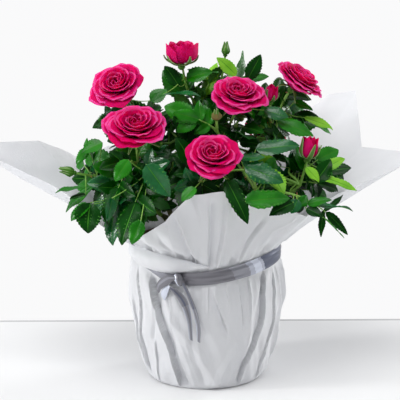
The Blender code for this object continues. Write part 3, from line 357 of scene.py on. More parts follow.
class Leaf:
    """A rose leaf: a rachis, a leaflet at its end and pairs of smaller ones down its sides.

    Its leaflets are held as rows of arrays: where each starts, its three axes and its sizes."""

    def __init__(self, base, way, outward, scale, pairs):
        self.way, self.outward, self.scale, self.pairs = unit(way), outward, scale, pairs
        self.length = RACHIS_LENGTH * scale * (RACHIS_LEAST + RACHIS_A_PAIR * pairs)
        self.base = base
        self.middle = base + self.way * self.length * 0.5
        self.end = self.middle + unit(self.way - UP * RACHIS_BEND) * self.length * 0.5

    def at(self, share):
        """The point at a share of the rachis's length."""
        near, far = min(1.0, 2 * share), max(0.0, 2 * share - 1)
        return self.base + (self.middle - self.base) * near + (self.end - self.middle) * far

    def unfold(self, rng):
        """Works out the leaflets, drawing their angles and sizes in a fixed order."""
        roll = rng.uniform(-LEAF_ROLL, LEAF_ROLL)
        starts, ways, rolls, sizes, self.hands, self.shares = [], [], [], [], [], []

        def add(share, hand, way, size):
            size *= self.scale
            starts.append(self.at(share))
            ways.append(way)
            rolls.append(roll + rng.uniform(-LEAFLET_ROLL, LEAFLET_ROLL))
            sizes.append((LEAFLET_LENGTH * size * rng.uniform(*LENGTHS),
                          LEAFLET_WIDTH * size * rng.uniform(*WIDTHS),
                          rng.uniform(*FOLDS), rng.uniform(*DROOPS)))
            self.hands.append(hand)
            self.shares.append(share)

        add(1.0, 0, self.end - self.middle - UP * END_DROP * self.length, 1.0)
        side = self.axes(np.array([ways[0]]), np.array([rolls[0]]))[1][0]
        for k in range(self.pairs):
            for hand in (-1, 1):
                spread = rng.uniform(*SIDE_SPREADS)
                way = self.way * math.cos(spread) + side * hand * math.sin(spread)
                add(SIDE_PLACE - SIDE_STEP * k, hand, way, SIDE_SCALE - SIDE_SCALE_STEP * k)
        self.starts, self.sizes = np.array(starts), np.array(sizes)
        self.along, self.across, self.normal = self.axes(np.array(ways), np.array(rolls))

    def axes(self, ways, rolls):
        """Axes along, across and out of leaflets that run these ways."""
        along = unit(ways)
        level = unit(self.outward * FLAT)
        look = unit(FACE_UP * UP + FACE_OUT * self.outward + FACE_LEVEL * level + LIGHT)
        normal = unit(look - along * (along @ look)[:, None])
        across = cross(normal, along)
        cos, sin = np.cos(rolls)[:, None], np.sin(rolls)[:, None]
        return along, across * cos + normal * sin, normal * cos - across * sin

    def samples(self):
        """Points over each leaflet, as (leaflets, points, 3)."""
        a, c = [grid.ravel() for grid in np.meshgrid(SAMPLES_ALONG, SAMPLES_ACROSS, indexing="ij")]
        length, width, fold, droop = self.sizes.T[:, :, None]
        half = 0.5 * width * np.sin(np.pi * np.minimum(1.0, a**0.8)) * c
        lift = np.abs(half) * fold - droop * length * a**2
        return (self.starts[:, None] + self.along[:, None] * (length * a)[:, :, None]
                + self.across[:, None] * half[:, :, None] + self.normal[:, None] * lift[:, :, None])

    def keep(self, kept):
        """Drops all leaflets but these."""
        self.hands = [self.hands[i] for i in kept]
        self.shares = [self.shares[i] for i in kept]
        for name in ("starts", "sizes", "along", "across", "normal"):
            setattr(self, name, getattr(self, name)[kept])


class Leaflet:
    """One leaflet of a fine twig, in the same arrays as a leaf's."""

    def __init__(self, start, tip, width, look, tone, draw):
        start, tip = np.array(start) * MM, np.array(tip) * MM
        along = unit(tip - start)
        normal = unit(look - along * float(look @ along))
        self.base, self.tip, self.tone = start, tip, tone
        self.starts, self.along, self.normal = start[None], along[None], normal[None]
        self.across = cross(self.normal, self.along)
        fold, droop = draw.uniform(*FRONT_FOLDS), draw.uniform(*FRONT_DROOPS)
        length = float(np.linalg.norm(tip - start))
        self.sizes = np.array([[length, width * MM / LEAF_SLIMNESS, fold, droop]])


class Plan:
    """Where every limb, leaf and bloom is. Each mass draws from its own seed, so it never changes."""

    def __init__(self):
        self.canes, self.boughs, self.stems, self.shoots = {}, {}, {}, {}
        self.names = list(MASSES)
        self.segments, self.blooms, self.guides = [], [], []
        self.leaves = {name: [] for name in MASSES}
        self.taken = np.zeros((0, 3))
        self.lay_out_limbs()
        self.gather()
        self.lay_out_floors()
        self.lay_out_front()
        self.spacing, self.tries = LEAF_SPACING, LEAF_TRIES
        for name in self.names:
            self.leaves[name] += self.grow_leaves(name)
        self.spacing, self.tries = FINE_SPACING, FINE_TRIES
        for name in self.names:
            self.leaves[name] += self.grow_fine_leaves(name)

    def add_limb(self, owner, points, radius):
        self.segments += [(owner, a, b, radius) for a, b in zip(points, points[1:])]

    def lay_out_limbs(self):
        """Canes, boughs, stems and shoots, the highest mass of each cane first."""
        for name, (foot, top) in CANES.items():
            foot, top = np.array([*foot, 0]) * MM, np.array(top) * MM
            foot[2] = SOIL_TOP + 2 * GAP
            self.canes[name] = curve(foot, UP, top, top - foot, 3)
            self.add_limb(name, self.canes[name], CANE_RADIUS)
        borne = dict.fromkeys(CANES, 0)
        for name in sorted(MASSES, key=lambda name: -MASSES[name][1][2]):
            cane = MASSES[name][0]
            self.lay_out_mass(name, self.canes[cane], borne[cane])
            borne[cane] += 1

    def lay_out_mass(self, name, cane, order):
        """The bough, stem and shoots of a mass. The bough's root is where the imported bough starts."""
        _, heart, shoots = MASSES[name]
        heart = np.array(heart) * MM
        lean = unit(cane[-1] - cane[-2])
        out = heart - cane[-1]
        flat = unit(out - lean * float(out @ lean))
        top = cane[-1] - lean * (BOUGH_TOP + BOUGH_STEP * order)
        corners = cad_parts[name.replace("mass", "bough")].data.vertices
        corners = np.unique(np.round([corner.co[:] for corner in corners], 6), axis=0)
        nearest = np.argsort(np.linalg.norm(corners - top, axis=1))[:BOUGH_SIDES]
        root = corners[nearest].mean(0)
        neck = root + (heart - root) * NECK_SHARE
        out = unit(heart - root)
        self.boughs[name] = curve(root, flat + lean * BOUGH_LEAN, neck, out, 2)
        self.add_limb("bough of " + name, self.boughs[name], BOUGH_RADIUS)
        self.stems[name] = curve(neck + out * GAP, out, heart, out + UP * HEART_LIFT, 3)
        self.add_limb(name, self.stems[name], STEM_RADIUS)
        self.guides += [(name, p) for p in self.stems[name][1:]]
        self.shoots[name] = []
        for tip, ending, size, (azimuth, elevation) in shoots:
            self.lay_out_shoot(name, heart, np.array(tip) * MM, ending, size, facing(azimuth, elevation))

    def lay_out_shoot(self, name, heart, tip, ending, size, look):
        """A shoot from the mass's heart to where its bloom or its last leaf starts."""
        if ending == LEAFY:
            reach = tip - look * SPAN_OF_LEAF * size
            bend = unit(reach - heart) + look
        else:
            size *= MM
            reach = tip - look * size * BLOOM_SINK[ending]
            bend = look
            self.blooms.append((name, tip, look, ending, size))
            self.guides.append((name, tip))
        points = curve(heart, unit(reach - heart) + UP * SHOOT_LIFT, reach, bend, 3)
        self.shoots[name].append((points, ending, size, look))
        self.add_limb(name, points, SHOOT_RADIUS)
        self.guides += [(name, p) for p in points[1:]]
        if ending == LEAFY:
            self.guides += [(name, reach + (tip - reach) * share) for share in (0.4, 0.8)]

    def gather(self):
        """The same limbs, blooms and guides as arrays."""
        number = {name: i for i, name in enumerate(self.names)}
        self.limb_owner = np.array([number.get(s[0], -1) for s in self.segments])
        self.limb_start = np.array([s[1] for s in self.segments])
        self.limb_along = np.array([s[2] for s in self.segments]) - self.limb_start
        self.limb_radius = np.array([s[3] for s in self.segments])
        self.limb_square = np.maximum(1e-12, (self.limb_along**2).sum(1))
        self.bloom_middle = np.array([b[1] for b in self.blooms])
        self.bloom_look = np.array([b[2] for b in self.blooms])
        self.bloom_girth = np.array([b[4] * BLOOM_GIRTH[b[3]] for b in self.blooms]) + BLOOM_MARGIN
        self.bloom_depth = np.array([b[4] * BLOOM_DEPTH[b[3]] for b in self.blooms]) + BLOOM_MARGIN
        self.guide_owner = np.array([number[g[0]] for g in self.guides])
        self.guide_point = np.array([g[1] for g in self.guides])

    def lay_out_floors(self):
        """Lowest heights by azimuth and radius, for leaves that may hang past the sheet's edge or not."""
        reach = np.linspace(0.0, FLOOR_STEP * FLOOR_STEPS, FLOOR_STEPS + 1)
        self.floors = {}
        for hangs in (True, False):
            lines = []
            for azimuth in range(-180, 180, FLOOR_TURN):
                radii, heights = zip(*(collar(azimuth, s) for s in np.linspace(0, 1, 9)))
                line = np.interp(reach, radii, heights)
                line[reach < WRAP_NECK_RADIUS - FLOOR_EDGE] = POT_HEIGHT
                line[reach > radii[-1] + FLOOR_EDGE] = -1.0 if hangs else heights[-1] - FLOOR_EDGE_DROP
                lines.append(line)
            self.floors[hangs] = np.array(lines)

    def lay_out_front(self):
        """The leaflets at the front, and the places where no grown leaf may hang before them or a bloom."""
        draw = random.Random(FINE_SEED)
        self.front, shown = [], []
        for name, start, tip, width, look, shade in FRONT_LEAFLETS:
            leaflet = Leaflet(start, tip, width, facing(*look), shade, draw)
            self.front.append((name, leaflet))
            wide = LEAFLET_SHOWN * width * MM * abs(float(leaflet.normal[0] @ unit((0, -1, 0.2))))
            shown.append(((leaflet.base + leaflet.tip) / 2, leaflet.tip - leaflet.base, wide))
        for _, middle, look, ending, size in self.blooms:
            if middle[1] > SHOWN_DEPTH:
                continue
            if ending in (OPEN, HALF):
                shown.append((middle, np.array([ROSE_SHOWN[0] * size, 0, 0]), ROSE_SHOWN[1] * size))
            else:
                shown.append((middle, look * size * BUD_SHOWN[0], BUD_SHOWN[1] * size))
        self.shown_middle = np.array([middle for middle, _, _ in shown])
        spans = np.array([span[[0, 2]] for _, span, _ in shown])
        self.shown_long = np.linalg.norm(spans, axis=1) / 2 + SHOW_MARGIN
        self.shown_way = unit(spans)
        self.shown_wide = np.array([wide for _, _, wide in shown]) + SHOW_MARGIN

    # Each test takes points as (groups, points, 3) and says which groups pass.
    def clear_of_front(self, points):
        away = points[:, :, None] - self.shown_middle
        along = away[..., 0] * self.shown_way[:, 0] + away[..., 2] * self.shown_way[:, 1]
        over = away[..., 2] * self.shown_way[:, 0] - away[..., 0] * self.shown_way[:, 1]
        inside = (along / self.shown_long) ** 2 + (over / self.shown_wide) ** 2 < 1
        return ~(inside & (away[..., 1] < 2 * SHOW_MARGIN)).any(axis=(1, 2))

    def in_crown(self, points):
        away = points - CROWN_MIDDLE
        reach = np.where(away[..., 2:] < 0, [*CROWN_REACH[:2], CROWN_DROP], CROWN_REACH)
        return (((away / reach) ** 2).sum(-1) < 1).all(1)

    def in_cell(self, owner, points):
        apart = ((points[:, :, None] - self.guide_point) ** 2).sum(-1)
        mine = self.guide_owner == owner
        return (np.sqrt(apart[..., mine].min(-1)) + CELL_MARGIN < np.sqrt(apart[..., ~mine].min(-1))).all(1)

    def clear_of_limbs(self, owner, points, base, shy):
        away = points[:, :, None] - self.limb_start
        t = np.clip((away * self.limb_along).sum(-1) / self.limb_square, 0, 1)
        apart = np.sqrt(((away - t[..., None] * self.limb_along) ** 2).sum(-1)) - self.limb_radius
        mine = self.limb_owner == owner
        far = np.sqrt(((points - base) ** 2).sum(-1)) > shy
        own = (apart[..., mine].min(-1) > OWN_LIMB_MARGIN) | ~far
        return (apart[..., ~mine].min(-1) >= LIMB_MARGIN).all(1) & own.all(1)

    def clear_of_blooms(self, points):
        away = points[:, :, None] - self.bloom_middle
        up = (away * self.bloom_look).sum(-1)
        flat = (away**2).sum(-1) - up**2
        return (flat / self.bloom_girth**2 + (up / self.bloom_depth) ** 2 > 1).all(axis=(1, 2))

    def clear_of_wrap(self, points, hangs):
        radius = np.hypot(points[..., 0], points[..., 1])
        turn = np.round(np.degrees(np.arctan2(points[..., 1], points[..., 0])) / FLOOR_TURN).astype(int)
        turn += 180 // FLOOR_TURN
        clear = np.ones(len(points), bool)
        for shift in FLOOR_SHIFTS:
            step = np.clip(np.round((radius + shift) / FLOOR_STEP).astype(int), 0, FLOOR_STEPS)
            for spin in (-1, 0, 1):
                floor = self.floors[hangs][(turn + spin) % (360 // FLOOR_TURN), step]
                clear &= (points[..., 2] >= floor + WRAP_MARGIN).all(1)
        return clear

    def uncrowded(self, points):
        near = self.taken[np.abs(self.taken - points.mean((0, 1))).max(1) < NEAR_SPAN]
        if not len(near):
            return np.ones(len(points), bool)
        apart = ((points[:, :, None] - near) ** 2).sum(-1).min(-1)
        return (apart >= self.spacing**2).all(1)

    def try_leaf(self, owner, base, way, outward, scale, pairs, free, rng):
        """A leaf less the leaflets that have no room, or None."""
        leaf = Leaf(base, way, outward, scale, pairs)
        line = np.array([[leaf.at(share) for share in (0.25, 0.5, 0.75, 1.0)]])
        if not (free or self.in_crown(line)[0]) or not self.clear_of_wrap(line, free)[0]:
            return None
        if not self.in_cell(owner, line)[0] or not self.clear_of_blooms(line)[0]:
            return None
        if not self.clear_of_limbs(owner, line, base, LINE_SHY)[0]:
            return None
        leaf.unfold(rng)
        points = leaf.samples()
        fits = self.clear_of_wrap(points, free) & self.clear_of_blooms(points) & self.clear_of_front(points)
        if not free:
            fits &= self.in_crown(points)
        if not fits[0]:
            return None
        fits &= self.in_cell(owner, points)
        if not fits[0] or fits.sum() < 2:
            return None
        fits &= self.clear_of_limbs(owner, points, base, LEAFLET_SHY) & self.uncrowded(points)
        if not fits[0] or fits.sum() < 2:
            return None
        leaf.places = points[fits].reshape(-1, 3)
        leaf.keep(np.nonzero(fits)[0])
        return leaf

    def limbs_of(self, name):
        """The stem and shoots of a mass: number, points, distances along, ending and leafless share."""
        limbs = [(self.stems[name], LEAFY, BARE_STEM_SHARE)]
        limbs += [(points, ending, BARE_SHARE) for points, ending, _, _ in self.shoots[name]]
        for number, (points, ending, first) in enumerate(limbs):
            points = np.array(points)
            along = np.concatenate([[0], np.cumsum(np.linalg.norm(np.diff(points, axis=0), axis=1))])
            yield number, points, along, ending, first

    def grow_leaves(self, name):
        """Leaves at the ends of leafy shoots and up each limb of the mass."""
        owner = self.names.index(name)
        found = []
        for number, (points, ending, size, look) in enumerate(self.shoots[name]):
            if ending == LEAFY:
                found += self.grow_leaf(owner, number, 0, points[-1], look, look, size, True)
        for number, points, along, ending, first in self.limbs_of(name):
            bare = BARE_END if ending == LEAFY else BARE_BLOOM_END
            places = np.arange(first * along[-1], along[-1] - bare, INTERNODE)
            found += self.grow_along(owner, number, points, along, places, 1.0, 0)
        return found

    def grow_fine_leaves(self, name):
        """Smaller leaves between the others, half an internode on, in the room that is left."""
        owner = self.names.index(name)
        found = []
        for number, points, along, _, _ in self.limbs_of(name):
            places = np.arange(FINE_FIRST * along[-1], along[-1] - FINE_END, INTERNODE * FINE_INTERNODE)
            found += self.grow_along(owner, number, points, along, places, FINE_SCALE, FINE_SEED)
        return found

    def grow_along(self, owner, number, points, along, places, size, seed):
        """Leaves at some distances along a limb, each turned until it finds room."""
        found = []
        for k, at in enumerate(places):
            here, ahead = (np.array([np.interp(s, along, points[:, i]) for i in range(3)])
                           for s in (at, at + LOOK_AHEAD))
            found += self.grow_leaf(owner, number, k + 1, here, ahead - here, None, size, False, seed)
        return found

    def grow_leaf(self, owner, number, place, base, tangent, way, size, free, seed=0):
        """A list of the one leaf that finds most room here, or an empty one."""
        tangent = unit(tangent)
        side = unit(np.cross(tangent, RAY_START))
        lift = np.cross(side, tangent)
        best = None
        for attempt in range(self.tries):
            draw = random.Random(seed + 100000 * owner + 1000 * number + 30 * place + attempt)
            turn = GOLDEN_ANGLE * (place + number) + attempt * TRY_TURN
            ray = side * math.cos(turn) + lift * math.sin(turn)
            spread = draw.uniform(*LEAF_SPREADS)
            heading = tangent * math.cos(spread) + ray * math.sin(spread)
            if free:
                heading = way + ray * TRY_NUDGE * attempt
            outward = unit(base - CROWN_MIDDLE + CROWN_LIFT + unit(heading) * HEADING_PULL)
            if not free:
                heading = laid_back(heading, outward)
            smaller = attempt // TRIES_A_SCALE
            scale = size if free else size * draw.uniform(*LEAF_SCALES) * SCALES[smaller]
            leaf = self.try_leaf(owner, base, heading, outward, scale, 1 if smaller == 2 else 2, free, draw)
            if leaf and (best is None or len(leaf.hands) > len(best.hands)):
                best = leaf
            if best and len(best.hands) >= FULL_LEAF:
                break
        if best is None:
            return []
        self.taken = np.concatenate([self.taken, best.places])
        best.fine, best.free = bool(seed), free
        return [best]


def laid_back(heading, outward):
    """A leaf's heading, turned off the way out of the crown and down, most of all round its sides."""
    level = 1 - max(0.0, outward[2])
    heading = heading - outward * max(0.0, float(unit(heading) @ outward)) * LAY_BACK * level
    return heading - UP * LAY_DOWN * level


# ---------------------------------------------------------------- meshes
class Sheaf:
    """Many small meshes gathered into one piece."""

    def __init__(self, name, slot, nodes, materials):
        self.name, self.slot, self.nodes, self.materials = name, slot, nodes, materials
        self.verts, self.faces, self.tints, self.count = [], [], [], 0

    def add(self, verts, faces, tints):
        """Faces are rows of corner numbers, an array or a list. tints is one material or one a face."""
        verts = np.asarray(verts, float).reshape(-1, 3)
        self.verts.append(verts)
        if isinstance(faces, np.ndarray):
            self.faces += (faces + self.count).tolist()
        else:
            self.faces += [[corner + self.count for corner in face] for face in faces]
        self.tints += [tints] * len(faces) if isinstance(tints, int) else list(tints)
        self.count += len(verts)

    def done(self, crease=55):
        """Makes the piece, smooth where its faces meet at less than the crease in degrees."""
        mesh = bpy.data.meshes.new(self.name)
        mesh.from_pydata(np.concatenate(self.verts).tolist(), [], self.faces)
        for made in self.materials:
            mesh.materials.append(made)
        mesh.polygons.foreach_set("material_index", self.tints)
        mesh.shade_smooth()
        mesh.set_sharp_from_angle(angle=math.radians(crease))
        mesh.update()
        piece = bpy.data.objects.new(self.name, mesh)
        bpy.context.scene.collection.objects.link(piece)
        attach(piece, "root")
        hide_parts(*self.nodes)
        return piece


def quads(rows, columns, closed=False):
    """The faces of a grid of points, row by row; closed joins the last column to the first."""
    across = columns if closed else columns - 1
    i, j = [grid.ravel() for grid in np.meshgrid(np.arange(rows - 1), np.arange(across), indexing="ij")]
    k = (j + 1) % columns
    return np.stack([i * columns + j, i * columns + k, (i + 1) * columns + k, (i + 1) * columns + j], 1)


def capped(rows, sides):
    """The faces of a closed round body: between its rings, and fans to a point before and behind them."""
    last = (rows - 1) * sides
    faces = quads(rows, sides, closed=True).tolist()
    for k in range(sides):
        after = (k + 1) % sides
        faces.append([after, k, last + sides])
        faces.append([last + k, last + after, last + sides + 1])
    return faces


def outline(rows, columns):
    """The corner numbers round the edge of a grid."""
    bottom = list(range(columns))
    right = [i * columns + columns - 1 for i in range(1, rows)]
    top = [(rows - 1) * columns + j for j in range(columns - 2, -1, -1)]
    left = [i * columns for i in range(rows - 2, 0, -1)]
    return bottom + right + top + left


def thin_solid(front, back, front_tints, back_tint, edge_tint):
    """Verts, faces and tints of a thin closed solid between two grids of points, (rows, columns, 3)."""
    rows, columns = front.shape[:2]
    faces = quads(rows, columns)
    edge = np.array(outline(rows, columns))
    after = np.roll(edge, -1)
    count = rows * columns
    sides = np.stack([after, edge, edge + count, after + count], 1)
    tints = list(front_tints) + [back_tint] * len(faces) + [edge_tint] * len(sides)
    verts = np.concatenate([front.reshape(-1, 3), back.reshape(-1, 3)])
    return verts, np.concatenate([faces, faces[:, ::-1] + count, sides]), tints


def smooth_line(points, parts):
    """More points along the curve through some points."""
    points = np.asarray(points, float)
    ends = np.concatenate([[2 * points[0] - points[1]], points, [2 * points[-1] - points[-2]]])
    made = []
    for i in range(len(points) - 1):
        p, q, r, s = ends[i:i + 4]
        for k in range(parts):
            t = k / parts
            made.append(0.5 * (2 * q + (r - p) * t + (2 * p - 5 * q + 4 * r - s) * t * t
                               + (3 * q - p - 3 * r + s) * t**3))
    return np.array(made + [points[-1]])


def frames_along(points):
    """Directions across a line of points that don't twist: (ways, sides, thirds)."""
    steps = [points[1:2] - points[:1], points[2:] - points[:-2], points[-1:] - points[-2:-1]]
    ways = unit(np.concatenate(steps))
    side = unit(np.cross(ways[0], (0.31, 0.17, 0.94)))
    sides = []
    for way in ways:
        side = unit(side - way * float(side @ way))
        sides.append(side)
    sides = np.array(sides)
    return ways, sides, cross(ways, sides)


START_POINT, END_POINT = 0.4, 0.6  # how far a limb's ends come to a point, by their radii


def tube(points, radii, sides, relief=None):
    """A closed round limb; relief(rows, angles) scales its radius."""
    points = np.asarray(points)
    ways, across, third = frames_along(points)
    turns = 2 * np.pi * np.arange(sides) / sides
    radius = np.asarray(radii)[:, None] * np.ones(sides)
    if relief is not None:
        radius = radius * relief(np.arange(len(points))[:, None], turns[None])
    ring = across[:, None] * np.cos(turns)[:, None] + third[:, None] * np.sin(turns)[:, None]
    verts = (points[:, None] + ring * radius[..., None]).reshape(-1, 3)
    start = points[:1] - ways[:1] * radii[0] * START_POINT
    end = points[-1:] + ways[-1:] * radii[-1] * END_POINT
    return np.concatenate([verts, start, end]), [face[::-1] for face in capped(len(points), sides)]


def add_limb(sheaf, points, radii, sides, tint, relief=None):
    """One limb, in one material."""
    verts, faces = tube(points, radii, sides, relief)
    sheaf.add(verts, faces, tint)


# ---------------------------------------------------------------- materials
def tone(red, green, blue):
    """A linear colour from one on the 0 to 255 display scale."""
    return tuple((c / 255 / 12.92) if c / 255 <= 0.04045 else ((c / 255 + 0.055) / 1.055) ** 2.4
                 for c in (red, green, blue))


ROUGHNESS_SPREAD = 0.07
RELIEF_DEPTH = 0.0004
GLOSS = "Specular IOR Level"


class Finish:
    """A procedural material: a mottled colour, a mottled roughness and a fine relief."""

    def __init__(self, name, colour, other, grain, roughness, bump=0.0, bump_grain=1.0, stretch=(1, 1, 1)):
        self.made = bpy.data.materials.new(name)
        self.made.use_nodes = True
        self.tree = self.made.node_tree
        self.shader = self.tree.nodes["Principled BSDF"]
        self.made.diffuse_color = (*colour, 1.0)
        place = self.tree.nodes.new("ShaderNodeTexCoord")
        self.mapping = self.tree.nodes.new("ShaderNodeMapping")
        self.mapping.inputs["Scale"].default_value = stretch
        self.tree.links.new(place.outputs["Object"], self.mapping.inputs["Vector"])
        noise = self.noise(grain, 3.0)
        ramp = self.ramp(noise, (0.32, (*colour, 1)), (0.68, (*other, 1)))
        self.tree.links.new(ramp.outputs["Color"], self.shader.inputs["Base Color"])
        spread = self.tree.nodes.new("ShaderNodeMapRange")
        spread.inputs["To Min"].default_value = max(0.02, roughness - ROUGHNESS_SPREAD)
        spread.inputs["To Max"].default_value = min(1.0, roughness + ROUGHNESS_SPREAD)
        self.tree.links.new(noise.outputs["Fac"], spread.inputs["Value"])
        self.tree.links.new(spread.outputs["Result"], self.shader.inputs["Roughness"])
        if bump:
            relief = self.tree.nodes.new("ShaderNodeBump")
            relief.inputs["Strength"].default_value = bump
            relief.inputs["Distance"].default_value = RELIEF_DEPTH
            fine = self.noise(bump_grain, 4.0)
            self.tree.links.new(fine.outputs["Fac"], relief.inputs["Height"])
            self.tree.links.new(relief.outputs["Normal"], self.shader.inputs["Normal"])

    def noise(self, scale, detail):
        noise = self.tree.nodes.new("ShaderNodeTexNoise")
        noise.inputs["Scale"].default_value = scale
        noise.inputs["Detail"].default_value = detail
        self.tree.links.new(self.mapping.outputs["Vector"], noise.inputs["Vector"])
        return noise

    def ramp(self, source, low, high):
        ramp = self.tree.nodes.new("ShaderNodeValToRGB")
        for stop, (place, colour) in zip(ramp.color_ramp.elements, (low, high)):
            stop.position, stop.color = place, colour
        self.tree.links.new(source.outputs["Fac"], ramp.inputs["Fac"])
        return ramp

    def given(self, values):
        """The material, with constants on some of its shader's own sockets."""
        for name, value in values.items():
            self.shader.inputs[name].default_value = value
        return self.made


def leaf_finish(name, colour, other, roughness, gloss=0.08):
    """The material of anything green and flat."""
    return Finish(name, colour, other, 90.0, roughness, 0.35, 900.0).given({GLOSS: gloss})


# leaf_dark partly paints shade, leaf_bright partly paints light shining through leaves, and leaf_bluish
# paints a bluish sheen of reflected light on top of its gloss.
LEAF_FINISHES = [
    leaf_finish("leaf_dark", tone(2, 46, 2), tone(5, 68, 4), 0.30, 0.12),
    leaf_finish("leaf_mid", tone(14, 92, 2), tone(32, 122, 8), 0.30, 0.24),
    leaf_finish("leaf_bright", tone(100, 168, 24), tone(128, 190, 46), 0.42, 0.2),
    leaf_finish("leaf_bluish", tone(6, 74, 30), tone(22, 100, 48), 0.24, 0.42),
    leaf_finish("leaf_underside", tone(62, 122, 44), tone(84, 140, 60), 0.6),
    leaf_finish("leaf_rib", tone(40, 106, 22), tone(62, 126, 34), 0.45),
]
STEM_FINISHES = [
    Finish("stem_green", tone(104, 160, 52), tone(138, 184, 82), 60.0, 0.5, 0.3, 700.0, (1, 1, 0.25)).made,
    Finish("cane_bark", tone(84, 104, 50), tone(116, 104, 62), 70.0, 0.62, 0.6, 600.0, (1, 1, 0.2)).made,
    Finish("thorn", tone(150, 96, 60), tone(176, 128, 84), 80.0, 0.45, 0.2, 700.0).made,
]
STEM, BARK, THORN = range(3)


# ---------------------------------------------------------------- leaves and limbs
LEAF_ROWS = 21  # an odd number: each second row is a lateral vein that ends in a tooth
RIB_EDGE = 0.045  # half the midrib's width, in half widths of the leaflet
LEAF_COLUMNS = np.array((-1.0, -0.68, -0.36, -RIB_EDGE, RIB_EDGE, 0.36, 0.68, 1.0))
LEAF_THICKNESS = 0.00028
LEAF_ROOT, LEAF_TIP = 0.0004, 0.00008  # half widths where a leaflet starts and ends
# A leaflet's forms, in shares of its length or width.
VEIN_SLANT, TOOTH_SLANT = 0.11, 0.018
TOOTH = 0.065
QUILT, GROOVE = 0.052, 0.014
WAVE, WAVES = 0.035, (7, 11)
CURLS, TIP_CURLS, BENDS = (0.02, 0.16), (-0.05, 0.22), (-0.10, 0.10)
LEAF_SLIMNESS = 0.90
SPRIG_SLIMNESS, SPRIG_SIDE, SPRIG_TOP = 0.40, 0.088, 0.150  # the low sprig at the right has narrow leaves


def slimness(start):
    """How wide a leaflet that starts here is, by its plan's width."""
    x, y, z = start
    return SPRIG_SLIMNESS if x > SPRIG_SIDE and y < 0 and z < SPRIG_TOP else LEAF_SLIMNESS


def leaflet_points(leaf, i, draw):
    """The upper surface of a leaflet as a grid of points, row by row from its stalk to its tip."""
    length, width, fold, droop = leaf.sizes[i]
    width = width * slimness(leaf.starts[i])
    rows = np.linspace(0.0, 1.0, LEAF_ROWS)[:, None]
    across = LEAF_COLUMNS[None]
    side = np.abs(across)
    vein = (np.arange(LEAF_ROWS) % 2)[:, None]
    edge = side > 0.9
    along = rows + VEIN_SLANT * side * 4 * rows * (1 - rows)
    along = along + TOOTH_SLANT * vein * edge * np.sin(np.pi * rows)
    shape = 2.56 * along**0.6 * np.maximum(0.0, 1 - along) ** 0.86
    teeth = 1 + TOOTH * (2 * vein - 1) * edge
    half = across * (0.5 * width * shape * teeth + LEAF_ROOT * (1 - rows) + LEAF_TIP * rows)
    quilt = QUILT * width * np.sin(np.pi * np.minimum(1, side * 1.05)) * (0.5 - vein) * np.sin(np.pi * rows)
    groove = GROOVE * width * (side < 0.1) * (1 - rows)
    phase = draw.uniform(0, 6) + 2.0 * np.sign(across)
    wave = WAVE * length * side**2 * np.sin(draw.uniform(*WAVES) * rows + phase) * shape
    curl = draw.uniform(*CURLS) * width * side**3 * shape
    tip = draw.uniform(*TIP_CURLS) * length * np.maximum(0.0, rows - 0.65) ** 2 * 4
    lift = np.abs(half) * fold - droop * length * along**2 + quilt - groove + wave - curl - tip
    bend = draw.uniform(*BENDS) * length * along**2
    return (leaf.starts[i] + leaf.along[i] * (length * along)[..., None]
            + leaf.across[i] * (half + bend)[..., None] + leaf.normal[i] * lift[..., None])


def grid_normals(points):
    """Unit normals over a grid of points, to the side its rows and columns turn about."""
    down = np.gradient(points, axis=0)
    over = np.gradient(points, axis=1)
    return unit(cross(over, down))


def add_shell(sheaf, front, normals, thickness, tints, back, edge):
    """A thin solid whose front lies on the side its normals point to. tints is one or one a face."""
    behind = front - normals * thickness
    row, column = front.shape[0] // 2, front.shape[1] // 2
    face = np.cross(front[row, column + 1] - front[row, column], front[row + 1, column] - front[row, column])
    tints = np.broadcast_to(tints, (front.shape[0] - 1, front.shape[1] - 1))
    if float(face @ normals[row, column]) < 0:
        front, behind, tints = front[:, ::-1], behind[:, ::-1], tints[:, ::-1]
    sheaf.add(*thin_solid(front, behind, tints.ravel(), back, edge))


def add_leaflet(sheaf, points, normal, tint):
    """A leaflet as a thin solid, with its midrib and its paler underside."""
    normals = grid_normals(points)
    normals = normals * np.sign((normals * normal).sum(-1, keepdims=True) + 1e-9)
    tints = np.where(LEAF_COLUMNS[:-1] == -RIB_EDGE, RIB, tint) * np.ones((LEAF_ROWS - 1, 1), int)
    add_shell(sheaf, points + normals * LEAF_THICKNESS / 2, normals, LEAF_THICKNESS, tints, UNDERSIDE, tint)


# How many leaves of 1 are bright, as young ones are and with painted light on them too, or bluish, a painted
# sheen, or of the middle green. The others are dark, partly painted shade.
BRIGHT_PART, BLUISH_PART, MID_PART = 0.17, 0.24, 0.52
BRIGHT_LEVEL, BRIGHT_SIDE = 0.158, -0.035  # bright leaves, young ones with painted light from the upper right, grow above this height and right of this
INNER_SHADE_REACH = 0.6  # fine leaves nearer the crown's middle than this are dark: painted shade inside the crown
STALK_RADII = (0.00062, 0.00040)
FRONT_STALK_RADII = (0.00048, 0.00034)
STALK_SIDES, STEM_SIDES, SHOOT_SIDES, CANE_SIDES, BOUGH_RELIEF_SIDES = 5, 10, 9, 14, 12
STALK_SAG = 0.0015
THORN_RADII = np.array((0.0006, 0.00048, 0.0003, 0.00018, 0.00004))
THORN_LENGTHS, THORN_SIDES, THORN_WAG = (0.0016, 0.0026), 5, 0.3
FIRST_THORN, LAST_THORN = 0.6, 0.004  # where thorns start, by their spacing, and end, from the limb's tip
THORN_ROOT = 0.7  # a thorn starts inside its limb, this far out by the limb's radius
THORN_HOOK = ((0, 0), (0.55, 0.05), (1, 0.4))  # how far out and how far down it goes, by its length
CANE_THORNS, BOUGH_THORNS, SHOOT_THORNS = 0.006, 0.007, 0.011  # how far apart thorns are
CANE_END = CANE_RADIUS * 0.85
SHOOT_START, SHOOT_END = SHOOT_RADIUS * 1.1, SHOOT_RADIUS * 0.8
BEHIND = 0.003  # a front leaflet's stalk comes from a limb at least this far behind it


